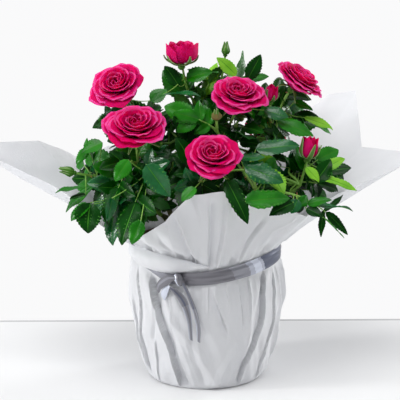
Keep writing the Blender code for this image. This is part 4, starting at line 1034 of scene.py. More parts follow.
def leaf_tone(leaf, draw):
    """Which green a leaf is: young ones at the tips of some shoots, high and to the right, are bright,
    partly painted light; inner ones are dark, painted shade; some are bluish, a painted sheen.
    """
    reach = float(np.linalg.norm((leaf.base - CROWN_MIDDLE) / CROWN_REACH))
    young = leaf.free and leaf.base[2] > BRIGHT_LEVEL and leaf.base[0] > BRIGHT_SIDE
    chance = draw.random()
    if young and chance < BRIGHT_PART:
        return BRIGHT
    if chance < BLUISH_PART:
        return BLUISH
    if leaf.fine and reach < INNER_SHADE_REACH:
        return DARK
    return MID if chance < BLUISH_PART + MID_PART * min(1.0, reach) else DARK


def build_foliage(plan):
    """Leaves, joined by the cane that bears them, on their leaf stalks."""
    sheaves = {}
    for cane in CANES:
        nodes = [name for name in MASSES if MASSES[name][0] == cane]
        sheaves[cane] = Sheaf(cane.replace("cane", "leaves"), "foliage", nodes, LEAF_FINISHES)
    stalks = Sheaf("leaf_stalks", "foliage", list(MASSES), STEM_FINISHES)
    for name in plan.names:
        for number, leaf in enumerate(plan.leaves[name]):
            draw = random.Random(f"{name} {number}")
            tint = leaf_tone(leaf, draw)
            for i in range(len(leaf.hands)):
                add_leaflet(sheaves[MASSES[name][0]], leaflet_points(leaf, i, draw), leaf.normal[i], tint)
            line = smooth_line([leaf.base, leaf.middle, leaf.end], 2)
            add_limb(stalks, line, np.linspace(*STALK_RADII, len(line)), STALK_SIDES, STEM)
    limbs = [smooth_line(points, 5) for name in plan.names for _, points, _, _, _ in plan.limbs_of(name)]
    limbs = np.concatenate(limbs)
    for number, (name, leaflet) in enumerate(plan.front):
        points = leaflet_points(leaflet, 0, random.Random(f"front {number}"))
        add_leaflet(sheaves[MASSES[name][0]], points, leaflet.normal[0], leaflet.tone)
        add_front_stalk(stalks, limbs, leaflet)
    for sheaf in (*sheaves.values(), stalks):
        sheaf.done()


def add_front_stalk(stalks, limbs, leaflet):
    """A thin stalk from the nearest limb behind a front leaflet to where it starts."""
    limbs = limbs[limbs[:, 1] > leaflet.base[1] + BEHIND]
    nearest = limbs[np.argmin(np.linalg.norm(limbs - leaflet.base, axis=1))]
    share = np.linspace(0, 1, 7)[:, None]
    line = nearest + (leaflet.base - nearest) * share - UP * STALK_SAG * np.sin(np.pi * share)
    add_limb(stalks, line, np.linspace(*FRONT_STALK_RADII, len(line)), STALK_SIDES, STEM)


def add_thorns(sheaf, line, radius, spacing, draw):
    """Hooked thorns up a limb, a golden angle apart."""
    ways, sides, thirds = frames_along(line)
    along = np.concatenate([[0], np.cumsum(np.linalg.norm(np.diff(line, axis=0), axis=1))])
    for k, at in enumerate(np.arange(spacing * FIRST_THORN, along[-1] - LAST_THORN, spacing)):
        i = min(len(line) - 1, int(np.searchsorted(along, at)))
        turn = GOLDEN_ANGLE * k + draw.uniform(-THORN_WAG, THORN_WAG)
        out = sides[i] * math.cos(turn) + thirds[i] * math.sin(turn)
        root = line[i] + out * radius * THORN_ROOT
        length = draw.uniform(*THORN_LENGTHS)
        hook = [root + (out * far - ways[i] * down) * length for far, down in THORN_HOOK]
        add_limb(sheaf, smooth_line(hook, 2), THORN_RADII, THORN_SIDES, THORN)


def bark_relief(rows, turns):
    """How far ridges and a node at each fifth ring scale a limb's radius."""
    ridges = 0.05 * np.sin(3 * turns + rows * 0.7) + 0.04 * np.sin(7 * turns - rows * 0.4)
    return 1 + ridges + 0.10 * (rows % 5 == 2)


def build_limbs(plan):
    """Canes and boughs with the bark's ridges and nodes, and the green stems and shoots beyond them."""
    names = list(plan.canes) + [name.replace("mass", "bough") for name in plan.boughs]
    canes = Sheaf("canes_and_boughs", "bark", names, STEM_FINISHES)
    for limbs, radius, end, sides, spacing in (
            (plan.canes, CANE_RADIUS, CANE_END, CANE_SIDES, CANE_THORNS),
            (plan.boughs, BOUGH_RADIUS, STEM_RADIUS, BOUGH_RELIEF_SIDES, BOUGH_THORNS)):
        for name, points in limbs.items():
            line = smooth_line(points, 6)
            add_limb(canes, line, np.linspace(radius, end, len(line)), sides, BARK, bark_relief)
            add_thorns(canes, line, radius, spacing, random.Random(name))
    canes.done()
    twigs = Sheaf("twigs", "foliage", list(MASSES), STEM_FINISHES)
    for name in plan.names:
        line = smooth_line(plan.stems[name], 5)
        radii = np.linspace(STEM_RADIUS, SHOOT_RADIUS, len(line))
        add_limb(twigs, line, radii, STEM_SIDES, STEM, bark_relief)
        for number, (points, _, _, _) in enumerate(plan.shoots[name]):
            line = smooth_line(points, 5)
            radii = np.linspace(SHOOT_START, SHOOT_END, len(line))
            add_limb(twigs, line, radii, SHOOT_SIDES, STEM, bark_relief)
            add_thorns(twigs, line, SHOOT_RADIUS, SHOOT_THORNS, random.Random(f"{name} shoot {number}"))
    twigs.done()


# ---------------------------------------------------------------- blooms
PETAL_LOOK = {GLOSS: 0.05, "Subsurface Weight": 0.5, "Subsurface Radius": (1.0, 0.1, 0.3),
              "Subsurface Scale": 0.003}
PETAL_FINISHES = [
    Finish("petal", tone(204, 0, 82), tone(214, 2, 92), 140.0, 0.62, 0.15, 1500.0),
    # petal_deep_shade is darker: painted shade for the inner petals in the bloom's heart.
    Finish("petal_deep_shade", tone(180, 0, 62), tone(198, 0, 76), 140.0, 0.62, 0.15, 1500.0),
    # petal_rim_highlight is a lighter pink: a painted highlight along petal margins.
    Finish("petal_rim_highlight", tone(230, 44, 124), tone(238, 80, 148), 200.0, 0.55, 0.1, 1500.0),
    Finish("petal_back", tone(202, 4, 88), tone(214, 24, 106), 140.0, 0.62, 0.15, 1500.0),
]
PETAL_FINISHES = [finish.given(PETAL_LOOK) for finish in PETAL_FINISHES]
PETAL, DEEP_SHADE, RIM_HIGHLIGHT, BACK = range(4)
PETAL_ROWS, PETAL_COLUMNS = 11, 13
PETAL_THICKNESS = 0.00026
SWIRL_SHARE = 0.62  # share of an open bloom's petals that make its upright swirl
BLOOM_NOD = 0.16  # an open bloom lies a little flatter than its stalk
BLOOM_NODS = {"mass_front": 0.42, "mass_left_high": -0.02, "mass_centre": 0.04}  # other blooms' nods
BLOOM_SPREAD = 1.06  # how far its outermost petals reach past its plan
OPEN_PETALS, HALF_PETALS, BUD_PETALS = 40, 12, 6


class Bloom:
    """The local frame of a bloom: its middle, and its axis along the way it looks."""

    def __init__(self, middle, look, spin):
        self.middle, self.look = middle, look
        side = unit(np.cross(look, (0.23, 0.31, 0.92) if abs(look[2]) < 0.9 else (1.0, 0.2, 0.0)))
        third = np.cross(look, side)
        self.side = side * math.cos(spin) + third * math.sin(spin)
        self.third = np.cross(look, self.side)

    def place(self, radius, turn, height):
        """Points round the bloom's axis."""
        across = self.side * (radius * np.cos(turn))[..., None]
        third = self.third * (radius * np.sin(turn))[..., None]
        return self.middle + across + third + self.look * np.asarray(height)[..., None]


def bezier(start, start_angle, end, end_angle, pull_start, pull_end, t):
    """A profile in (radius, height) between two points, leaving and arriving at angles above the flat."""
    start, end = np.array(start), np.array(end)
    span = float(np.linalg.norm(end - start))
    first = start + span * pull_start * np.array((math.cos(start_angle), math.sin(start_angle)))
    second = end - span * pull_end * np.array((math.cos(end_angle), math.sin(end_angle)))
    t = np.asarray(t)[..., None]
    return (1 - t) ** 3 * start + 3 * t * (1 - t) ** 2 * first + 3 * t * t * (1 - t) * second + t**3 * end


def profile_of(start, start_angle, end, end_angle, pull_start, pull_end):
    """A profile between two points, by the share along it."""
    return lambda share: bezier(start, start_angle, end, end_angle, pull_start, pull_end, share)


def widening(width, least, full):
    """Half a petal's width by the share along it: from a least part at its foot to the whole at "full"."""
    return lambda share: width * (least + (1 - least) * np.sin(np.pi / 2 * np.minimum(1, share / full)))


def directions(spot):
    """Unit directions along a profile, row by row."""
    slope = np.gradient(spot, axis=0)
    return slope / np.maximum(1e-9, np.linalg.norm(slope, axis=-1, keepdims=True))


def petal_points(bloom, turn, size, profile, half_width, draw, ruffle=0.02, roll=0.0, point=0.03, tuck=0.035,
                 cup=0.05):
    """The middle surface of a petal. Its ruffle, the roll of its rim, its pointed tip, the tuck of one side
    under the next petal and its cupping are shares of its bloom's size."""
    u = np.linspace(-1, 1, PETAL_COLUMNS)[None]
    v = np.linspace(0, 1, PETAL_ROWS)[:, None] ** 0.85
    skew = draw.uniform(-0.05, 0.05)
    top = 1 - 0.20 * np.abs(u) ** 2.6 + point * np.maximum(0, 1 - np.abs(u) * 3.2) + skew * u
    t = v * top
    spot = profile(np.minimum(t, 1.12))
    radius, height = spot[..., 0], spot[..., 1]
    angle = turn + u * half_width(t) / (radius + 0.07 * size)
    phase, second = draw.uniform(*ANY_TURN), draw.uniform(*ANY_TURN)
    wave = ruffle * size * (np.sin(draw.uniform(2.2, 3.4) * np.pi * u + phase) * t**4
                            + 0.45 * np.sin(draw.uniform(5.5, 7.5) * np.pi * u + second) * t**8)
    edge = roll * size * t**5 * (0.35 + 0.65 * u * u)
    bowl = cup * size * (1 - u * u) * np.sin(np.pi * np.minimum(1, t))
    slope = directions(spot)
    # Across the petal, away from the axis: along the profile's outer normal.
    push = wave + bowl * 0.6 + tuck * size * u + edge
    radius = np.maximum(0.0004, radius + push * slope[..., 1])
    height = height - push * slope[..., 0] - edge * 0.5
    return bloom.place(radius, angle, height)


def add_petal(sheaf, bloom, turn, size, profile, half_width, draw, tint, rim, **form):
    """One petal. profile(t) gives (radius, height) along its middle, and half_width(t) half its width."""
    points = petal_points(bloom, turn, size, profile, half_width, draw, **form)
    normals = grid_normals(points)
    middle = PETAL_ROWS // 2, PETAL_COLUMNS // 2
    inward = bloom.middle + bloom.look * size * 1.5 - points[middle]
    if float(normals[middle] @ inward) < 0:
        points, normals = points[:, ::-1], -normals[:, ::-1]
    shift = normals * PETAL_THICKNESS / 2
    rows = np.repeat(np.arange(PETAL_ROWS - 1), PETAL_COLUMNS - 1)
    # The last row and the edges take the rim tint, a painted highlight where the lighter rim is given.
    tints = np.where(rows >= PETAL_ROWS - 2, rim, tint)
    sheaf.add(*thin_solid(points + shift, points - shift, tints, BACK, rim))


def open_rose(sheaf, bloom, size, draw):
    """A full rosette: petals a golden angle apart, a tight upright swirl inside broad petals laid flat."""
    size = size * BLOOM_SPREAD
    turn = draw.uniform(*ANY_TURN)
    for i in range(OPEN_PETALS):
        t = i / (OPEN_PETALS - 1)
        outer = max(0.0, (t - SWIRL_SHARE) / (1 - SWIRL_SHARE))
        inner = min(1.0, t / SWIRL_SHARE)
        turn += GOLDEN_ANGLE + draw.uniform(-0.16, 0.16)
        wild = 0.02 + 0.07 * outer
        reach = size * (0.05 + 0.50 * inner**0.9 + 0.44 * outer**0.8)
        reach *= draw.uniform(1 - wild, 1 + wild * 0.6)
        lift = 0.24 + 0.10 * math.sin(math.pi * inner * 0.8) - 0.28 * outer**0.9
        rise = size * (lift + draw.uniform(-0.02, 0.02))
        start = (size * (0.02 + 0.12 * t), size * (-0.22 - 0.12 * t))
        start_angle = math.radians(82 - 20 * inner - 44 * outer)
        end_angle = math.radians(100 - 62 * inner**1.2 - 58 * outer**0.6 + draw.uniform(-9, 9))
        profile = profile_of(start, start_angle, (reach, rise), end_angle, 0.45, 0.38)
        wide = size * (0.15 + 0.28 * inner + 0.26 * outer**0.7) * draw.uniform(0.9, 1.12)
        roll = 0.02 + 0.03 * inner + 0.08 * outer * draw.uniform(0.2, 1.2)
        point = 0.02 + 0.07 * outer * draw.random()
        # Three petals in four get a painted highlight along their rims.
        rim = RIM_HIGHLIGHT if draw.random() < 0.75 else PETAL
        # Inner petals take the darker tone: painted shade.
        add_petal(sheaf, bloom, turn, size, profile, widening(wide, 0.34, 0.7), draw,
                  DEEP_SHADE if t < 0.3 else PETAL, rim, ruffle=0.008 + 0.024 * outer, roll=roll, point=point)


def half_open_rose(sheaf, bloom, size, draw):
    """A rounded cup of upright petals, the outer ones just turning out at their rims."""
    turn = draw.uniform(*ANY_TURN)
    for i in range(HALF_PETALS):
        t = i / (HALF_PETALS - 1)
        turn += GOLDEN_ANGLE + draw.uniform(-0.1, 0.1)
        reach = size * (0.10 + 0.84 * t**0.8) * draw.uniform(0.96, 1.04)
        rise = size * (0.50 + 0.03 * t + draw.uniform(-0.07, 0.07))
        start = (size * (0.04 + 0.20 * t), size * -0.60)
        profile = profile_of(start, math.radians(12), (reach, rise), math.radians(98 - 14 * t), 0.62, 0.5)
        half_width = widening(size * (0.28 + 0.56 * t), 0.40, 0.55)
        # Half the petals get a painted highlight along their rims.
        rim = RIM_HIGHLIGHT if draw.random() < 0.5 else PETAL
        # Inner petals take the darker tone: painted shade.
        add_petal(sheaf, bloom, turn, size, profile, half_width, draw,
                  PETAL if t > 0.3 else DEEP_SHADE, rim, roll=0.05 * t, point=0.02, tuck=0.03)


def pink_bud(sheaf, bloom, size, draw):
    """A slim bud: broad petals wrapped round each other, their rounded tips just parting."""
    turn = draw.uniform(*ANY_TURN)
    for i in range(BUD_PETALS):
        t = i / (BUD_PETALS - 1)
        turn += GOLDEN_ANGLE
        reach = size * (0.06 + 0.23 * t)
        rise = size * (0.48 - 0.08 * t + draw.uniform(-0.05, 0.05))
        start = (size * (0.04 + 0.08 * t), size * -0.28)
        profile = profile_of(start, math.radians(24), (reach, rise), math.radians(106 - 16 * t), 0.5, 0.45)
        half_width = widening(size * (0.17 + 0.19 * t), 0.5, 0.5)
        # Inner petals take the darker tone: painted shade.
        base = PETAL if t > 0.4 else DEEP_SHADE
        add_petal(sheaf, bloom, turn, size, profile, half_width, draw, base, PETAL,
                  ruffle=0.008, roll=0.04 * t, point=0.05, tuck=0.02, cup=0.02)


SEPAL_FINISHES = [
    leaf_finish("sepal", tone(74, 120, 46), tone(98, 142, 66), 0.5),
    leaf_finish("sepal_pale", tone(136, 164, 104), tone(158, 180, 128), 0.6),
    leaf_finish("bud_green", tone(52, 104, 30), tone(74, 124, 44), 0.45),
    leaf_finish("bud_brown", tone(92, 96, 48), tone(116, 98, 62), 0.55),
]
SEPAL, PALE, BUD_GREEN, BUD_BROWN = range(4)
SEPAL_ROWS, SEPAL_COLUMNS = 10, 7
SEPAL_KEEL, SEPAL_THICKNESS, SEPAL_WAG = 0.0006, 0.0004, 0.25
SEPALS = 5
HIP_SIDES, HIP_RADII = 14, np.array((0.45, 0.72, 0.95, 1.0, 0.88, 0.72, 0.70))
# A green bud as (radius, height) by its length, and how stout the brown one is.
GREEN_BUD_SHAPE = ((0, -0.34), (0.20, -0.30), (0.31, -0.12), (0.29, 0.06), (0.16, 0.30), (0.05, 0.46),
                   (0, 0.52))
BROWN_BUD, BROWN_BUD_STOUTNESS = "mass_centre", 1.45
# What is green under each kind of bloom, by its size: the urn's low end, top and radius, the ranges of the
# sepals' reach and rise, where a sepal starts, its first and last angles in degrees, and half its width.
CALYXES = {
    OPEN: ((-0.60, -0.34, 0.125), (0.62, 0.78), (-0.62, -0.34), (0.10, -0.37), (12, -35), 0.10),
    HALF: ((-1.02, -0.66, 0.22), (0.98, 1.03), (-0.26, -0.02), (0.18, -0.72), (8, 86), 0.26),
    PINK_BUD: ((-0.50, -0.26, 0.13), (0.34, 0.42), (0.06, 0.46), (0.11, -0.30), (20, 86), 0.15),
    GREEN_BUD: ((-0.50, -0.26, 0.17), (0.05, 0.14), (0.52, 0.72), (0.15, -0.28), (45, 96), 0.19),
}


def add_sepal(sheaf, bloom, turn, profile, half_width, draw, tint):
    """A pointed sepal along a profile, folded a little on its keel, its edges pale."""
    u = np.linspace(-1, 1, SEPAL_COLUMNS)[None]
    v = np.linspace(0, 1, SEPAL_ROWS)[:, None]
    spot = profile(v * np.ones_like(u))
    width = half_width * (0.55 + 0.75 * v - 0.2 * v * v) * np.maximum(0.02, 1 - v) ** 0.62
    slope = directions(spot)
    push = SEPAL_KEEL * (1 - np.abs(u))
    radius = spot[..., 0] + push * slope[..., 1]
    height = spot[..., 1] - push * slope[..., 0]
    wag = draw.uniform(-SEPAL_WAG, SEPAL_WAG) * v**2
    points = bloom.place(radius, turn + wag + u * width / np.maximum(radius, 0.0012), height)
    shift = grid_normals(points) * SEPAL_THICKNESS / 2
    columns = np.tile(np.arange(SEPAL_COLUMNS - 1), SEPAL_ROWS - 1)
    tints = np.where((columns == 0) | (columns == SEPAL_COLUMNS - 2), PALE, tint)
    sheaf.add(*thin_solid(points + shift, points - shift, tints, tint, PALE))


def add_turned(sheaf, bloom, shape, sides, tint, ribs=0, depth=0.0):
    """A closed turned body round a bloom's axis, from (radius, height) pairs that start and end on it."""
    shape = np.array(shape)
    turns = 2 * np.pi * np.arange(sides) / sides
    scallop = 1 + depth * np.cos(ribs * turns)
    body = shape[1:-1]
    rings = np.ones((len(body), 1))
    verts = bloom.place(body[:, :1] * scallop, turns * rings, body[:, 1:] * np.ones(sides))
    ends = bloom.place(np.zeros(2), np.zeros(2), shape[[0, -1], 1])
    sheaf.add(np.concatenate([verts.reshape(-1, 3), ends]), capped(len(body), sides), tint)


def add_hip(sheaf, bloom, size, low, high, wide, tint):
    """The green urn below the petals."""
    heights = low + (high - low) * np.linspace(0, 1, len(HIP_RADII))
    shape = [(0, low), *zip(wide * HIP_RADII, heights), (0, high)]
    add_turned(sheaf, bloom, [(r * size, h * size) for r, h in shape], HIP_SIDES, tint)


def add_calyx(sheaf, bloom, ending, size, draw):
    """The urn and the five sepals: spread under an open bloom, and up the sides of a bud."""
    spin = draw.uniform(*ANY_TURN)
    urn, reaches, rises, foot, (first, last), half_width = CALYXES[ending]
    tint = BUD_GREEN if ending == GREEN_BUD else SEPAL
    add_hip(sheaf, bloom, size, *urn, tint)
    start = size * foot[0], size * foot[1]
    tips = [(size * draw.uniform(*reaches), size * draw.uniform(*rises)) for _ in range(SEPALS)]
    for k, tip in enumerate(tips):
        profile = profile_of(start, math.radians(first), tip, math.radians(last), 0.40, 0.42)
        add_sepal(sheaf, bloom, spin + 2 * math.pi * k / SEPALS, profile, size * half_width, draw, tint)


def add_green_bud(sheaf, bloom, name, size):
    """The closed body of a green bud; one bud is brown and stout."""
    tint, stout = (BUD_BROWN, BROWN_BUD_STOUTNESS) if name == BROWN_BUD else (BUD_GREEN, 1.0)
    add_turned(sheaf, bloom, [(r * size * stout, h * size) for r, h in GREEN_BUD_SHAPE], 20, tint, 5, 0.10)


def build_blooms(plan):
    """Petals in front and behind, joined in two pieces, and everything green on the blooms in a third."""
    fronts = [name for name in MASSES if MASSES[name][0] != "cane_back"]
    backs = [name for name in MASSES if MASSES[name][0] == "cane_back"]
    petals = {True: Sheaf("petals_front", "foliage", fronts, PETAL_FINISHES),
              False: Sheaf("petals_back", "foliage", backs, PETAL_FINISHES)}
    greens = Sheaf("sepals_and_buds", "foliage", list(MASSES), SEPAL_FINISHES)
    makers = {OPEN: open_rose, HALF: half_open_rose, PINK_BUD: pink_bud}
    for number, (name, middle, look, ending, size) in enumerate(plan.blooms):
        draw = random.Random(f"{name} bloom {number}")
        if ending == OPEN:
            look = unit(look + UP * BLOOM_NODS.get(name, BLOOM_NOD))
        bloom = Bloom(middle, look, draw.uniform(*ANY_TURN))
        if ending == GREEN_BUD:
            add_green_bud(greens, bloom, name, size)
        else:
            makers[ending](petals[name in fronts], bloom, size, draw)
        add_calyx(greens, bloom, ending, size, draw)
    for sheaf in (*petals.values(), greens):
        sheaf.done(40)


# ---------------------------------------------------------------- the paper wrap
# Creases of the sheet, each with a line up it as (azimuth, height in millimetres). Beside its line a crease
# lifts the sheet by so many millimetres to the left, fading over a width, and by so many to the right. Equal
# lifts make a ridge or a valley, and unequal ones the edge of an overlapping layer.
CREASES = (
    # the skirt, from its left to its right
    (0.9, 5.0, -0.9, 7.0, ((-158, 66), (-160, 40), (-158, 12))),
    (1.2, 6.0, -1.0, 7.0, ((-153, 89), (-146, 70), (-152, 39), (-152, 12))),
    (-1.6, 3.0, -1.8, 2.6, ((-128, 74), (-130, 59), (-136, 40))),
    (1.6, 9.0, -5.6, 12.5, ((-135, 87), (-128, 64), (-125, 51), (-121, 38), (-118, 24), (-115, 4))),
    (-1.6, 3.5, 1.4, 8.0,
     ((-118, 80), (-116, 68), (-116, 51), (-114, 36), (-112, 24), (-109, 14), (-106, 3))),
    (0.9, 5.0, -0.7, 6.0, ((-134, 36), (-136, 20), (-138, 5))),
    (1.8, 8.0, 1.6, 6.0, ((-115, 59), (-109, 52), (-102, 43), (-94, 30), (-86, 16), (-80, 4))),
    (1.7, 6.0, 1.3, 8.0, ((-78, 4), (-75, 16), (-70, 26), (-65, 36))),
    (-1.3, 4.0, -1.3, 5.0, ((-101, 42), (-98, 25), (-92, 9))),
    (-1.6, 12.0, 0.9, 6.0, ((-84, 80), (-80, 69), (-77, 59), (-74, 52))),
    (0.5, 3.0, -0.7, 4.0, ((-88, 87), (-88, 70))),
    (-0.6, 3.0, 0.7, 4.0, ((-75, 88), (-73, 72))),
    (0.7, 4.0, -1.3, 4.0, ((-65, 88), (-64, 72), (-62, 58))),
    (-0.8, 3.0, 1.1, 3.0, ((-57, 88), (-57, 75), (-57, 60))),
    (1.4, 8.0, 1.8, 8.0, ((-45, 90), (-50, 79), (-55, 68), (-56, 54), (-56, 31), (-60, 23), (-61, 6))),
    (-4.4, 10.0, 0.9, 7.0, ((-41, 90), (-42, 72), (-42, 56), (-45, 40), (-49, 30), (-54, 18), (-57, 6))),
    (-0.9, 4.0, 1.2, 4.0, ((-29, 86), (-29, 64), (-27, 50), (-30, 38), (-32, 5))),
    (0.9, 5.0, -1.0, 5.0, ((-20, 90), (-18, 74), (-12, 42), (-10, 20))),
    # the collar's front flap
    (2.0, 8.0, -5.0, 10.0, ((-88, 156), (-88, 108))),
    (-3.6, 9.0, 2.2, 9.0, ((-105, 146), (-102, 126), (-98, 108))),
    (-2.2, 8.0, 3.0, 10.0, ((-79, 154), (-80, 122), (-82, 107))),
    (-2.2, 10.0, 1.8, 9.0, ((-64, 109), (-61, 125), (-56, 138))),
    (1.2, 8.0, -1.1, 9.0, ((-50, 114), (-46, 128), (-38, 137))),
    (0.8, 8.0, -0.9, 9.0, ((-97, 168), (-93, 145))),
    (1.0, 8.0, -1.4, 8.0, ((-118, 124), (-112, 116), (-107, 108))),
)
CREASE_STEP, COLLAR_STEP = 0.0008, 0.0036  # how suddenly a layer's edge steps, on the skirt and the collar
COLLAR_SOFTNESS = 0.9
COLLAR_RANGE = (TIE_HEIGHT - 0.004, TIE_HEIGHT + 0.008)  # between these heights skirt turns to collar
FADE = 9 * MM
LIP, LIP_WIDTH = 0.0005, 0.0022  # the small bead along the edge of a layer
SHEET_THICKNESS = 0.00026
SKIRT_ROWS, SKIRT_CROWDING, COLLAR_STEPS = 54, 1.15, 30
FRONT_COLUMNS, BACK_COLUMNS = np.arange(-165, -5, 0.5), np.arange(-5, 195, 1.2)
# Loose folds round the sides and the back: their number and seed, and ranges of azimuth, foot and top,
# lean, lift and width.
LOOSE_FOLDS, LOOSE_SEED = 34, 411
LOOSE_AZIMUTHS, LOOSE_LEANS, LOOSE_LIFTS, LOOSE_WIDTHS = (-12, 200), (-16, 16), (0.8, 1.9), (4.0, 10.0)
LOOSE_HEIGHTS = ((4, 50), (20, 88), (4, 90), (116, 165), (112, 150))
# Pleats at the ribbon, by the ribbon's side: how many, how deep below and above it, and how far they reach.
PLEATS, PLEAT_DEPTH, PLEATS_BELOW, PLEATS_ABOVE, PLEAT_REACH = 17, 0.0009, 0.9, 2.8, 0.009
DENT = 0.00022
DRAPE, COLLAR_DRAPE = 0.0005, 0.5
POT_CLEARANCE = 0.0005
# The pot inside as (height, radius): its foot, under and over its lip, and nothing above it.
POT_SHAPE = ((0, 0.0430), (POT_HEIGHT - 0.0125, 0.0546), (POT_HEIGHT - 0.0124, 0.0580),
             (POT_HEIGHT + 0.0002, 0.0580), (POT_HEIGHT + 0.0003, 0.0))
# The puff of sheet that rolls down over the ribbon beside the knot: azimuth, and the heights in
# millimetres of its top and its lower edge.
ROLL = ((-176, 110, 103), (-158, 111, 100), (-142, 113, 98), (-127, 113, 97), (-114, 112, 97),
        (-103, 109, 100), (-95, 106, 102), (-88, 104, 103))
ROLL_SWELL, ROLL_CREST, ROLL_RIPPLE = 0.0052, 0.0018, 0.0005  # how far it puffs out, rises and ripples
ROLL_SINK, ROLL_STANDOFF = 0.0004, 0.0024  # its top lies this far inside the collar, its foot off the neck
ROLL_COLUMNS, ROLL_ROWS = 120, 20
TUCK_DEPTH, TUCK_WIDTH, TUCK_RISE = 0.0026, 0.0026, 0.0012  # the fold that the roll comes out of


def swell(value, low, high):
    """0 below low, 1 above high and smooth between."""
    t = np.clip((value - low) / (high - low), 0, 1)
    return t * t * (3 - 2 * t)


def turn_between(azimuth, other):
    """The turn in degrees from one azimuth to another, between -180 and 180."""
    return (azimuth - other + 180) % 360 - 180


def crease_height(left, left_width, right, right_width, line, azimuth, radius, z):
    """How far one crease moves the sheet outward at each point of a grid."""
    heights, turns = zip(*sorted((h * MM, a) for a, h in line))
    away = np.radians(turn_between(azimuth, np.interp(z, heights, turns))) * radius
    low = swell(z, heights[0] - FADE, heights[0] + FADE / 3)
    high = 1 - swell(z, heights[-1] - FADE / 3, heights[-1] + FADE)
    on_collar = swell(z, *COLLAR_RANGE)
    softness = 1 + COLLAR_SOFTNESS * on_collar
    on_left = left * np.maximum(0, 1 + np.minimum(away, 0) / (left_width * MM)) ** softness
    on_right = right * np.maximum(0, 1 - np.maximum(away, 0) / (right_width * MM)) ** softness
    step = CREASE_STEP + (COLLAR_STEP - CREASE_STEP) * on_collar
    side = swell(away / step, -0.5, 0.5)
    lip = LIP * (np.sign(left) != np.sign(right)) * np.maximum(0, 1 - np.abs(away) / LIP_WIDTH)
    lip = lip * (side if right > left else 1 - side)
    return ((on_left * (1 - side) + on_right * side) * MM + lip) * low * high


def loose_folds():
    """Folds round the sides and back of the sheet, as creases."""
    draw = random.Random(LOOSE_SEED)
    made = []
    for _ in range(LOOSE_FOLDS):
        azimuth = draw.uniform(*LOOSE_AZIMUTHS)
        low, high = draw.choice(LOOSE_HEIGHTS)
        lean = draw.uniform(*LOOSE_LEANS)
        left = draw.choice((-1, 1)) * draw.uniform(*LOOSE_LIFTS)
        right = draw.choice((-1, 1)) * draw.uniform(*LOOSE_LIFTS)
        line = ((azimuth + lean, low), (azimuth + lean * 0.3, (low + high) / 2), (azimuth, high))
        made.append((left, draw.uniform(*LOOSE_WIDTHS), right, draw.uniform(*LOOSE_WIDTHS), line))
    return made


def sheet_columns():
    """The azimuths of the sheet's columns: even steps, and each corner of its edge."""
    corners = set(round(float(a), 3) for a in EDGE_AZIMUTHS)
    regular = set(turn_between(np.concatenate([FRONT_COLUMNS, BACK_COLUMNS]), 0).tolist())
    return np.array(sorted(corners | regular))


def sheet_grid():
    """Smooth points of the sheet: rows from under the pot, up the skirt, the neck and the collar."""
    azimuths = sheet_columns()
    profile = smooth_line([(r, 0, h) for r, h in SKIRT] + [(WRAP_NECK_RADIUS, 0, SKIRT_HEIGHT)], 8)
    radii, heights = [], []
    for azimuth in azimuths:
        tie = tie_height(azimuth)
        foot = tie - RIBBON_WIDTH / 2
        rise = np.linspace(0, 1, SKIRT_ROWS) ** SKIRT_CROWDING * foot
        skirt = np.interp(rise / (foot / SKIRT_HEIGHT), profile[:, 2], profile[:, 0])
        flare = np.array([collar(azimuth, s) for s in np.linspace(0, 1, COLLAR_STEPS)])
        radii.append(np.concatenate([[WRAP_FLOOR_RADIUS], skirt, [WRAP_NECK_RADIUS], flare[:, 0]]))
        heights.append(np.concatenate([[0.0], rise, [tie], flare[:, 1]]))
    return azimuths, np.array(radii).T, np.array(heights).T


def on_sheet(azimuths, radii, heights):
    """Points of the sheet from their azimuths, radii and heights."""
    turns = np.radians(azimuths)
    return np.stack([radii * np.cos(turns), radii * np.sin(turns), heights * np.ones_like(turns)], -1)


def dents(points):
    """Small soft dents, the same wherever they are asked for."""
    x, y, z = points[..., 0] / MM, points[..., 1] / MM, points[..., 2] / MM
    broad = np.sin(x * 0.21 + 1.7 * np.sin(z * 0.09) + y * 0.13) * np.sin(z * 0.17 + 1.3 * np.sin(y * 0.11))
    fine = np.sin(x * 0.43 - z * 0.31 + 2 * np.sin(y * 0.2)) * np.sin(y * 0.37 + z * 0.23)
    return (broad + 0.5 * fine) * DENT


def pleats(turns, from_tie, above):
    """Gathers at the ribbon, deeper above it, that fade away from it."""
    waves = np.sin(PLEATS * turns + 1.3 * np.sin(3 * turns)) + 0.8 * np.sin(PLEATS * 2.3 * turns + 2.0)
    fade = np.exp(-np.maximum(0, from_tie) / PLEAT_REACH) * swell(from_tie, -0.001, 0.003)
    return PLEAT_DEPTH * np.where(above, PLEATS_ABOVE, PLEATS_BELOW) * waves * fade


def tuck(azimuths, heights):
    """The depth of the fold over the roll beside the knot."""
    turns, tops, _ = np.array(ROLL).T
    top = np.interp(azimuths, turns, tops) * MM + TUCK_RISE
    along = swell(azimuths, -165, -150) * (1 - swell(azimuths, -100, -88))
    return TUCK_DEPTH * np.exp(-(((heights - top) / TUCK_WIDTH) ** 2)) * along


def drape(turns, heights, above):
    """Broad soft waves that lean as they fall, shallower on the collar."""
    lean = turns - 2.2 * heights + 0.25 * np.sin(55 * heights + 2 * turns)
    waves = np.sin(11 * lean) + 0.6 * np.sin(23 * lean + 60 * heights)
    waves = waves + 0.4 * np.sin(5 * turns + 90 * heights)
    return DRAPE * waves * np.where(above, COLLAR_DRAPE, 1.0)


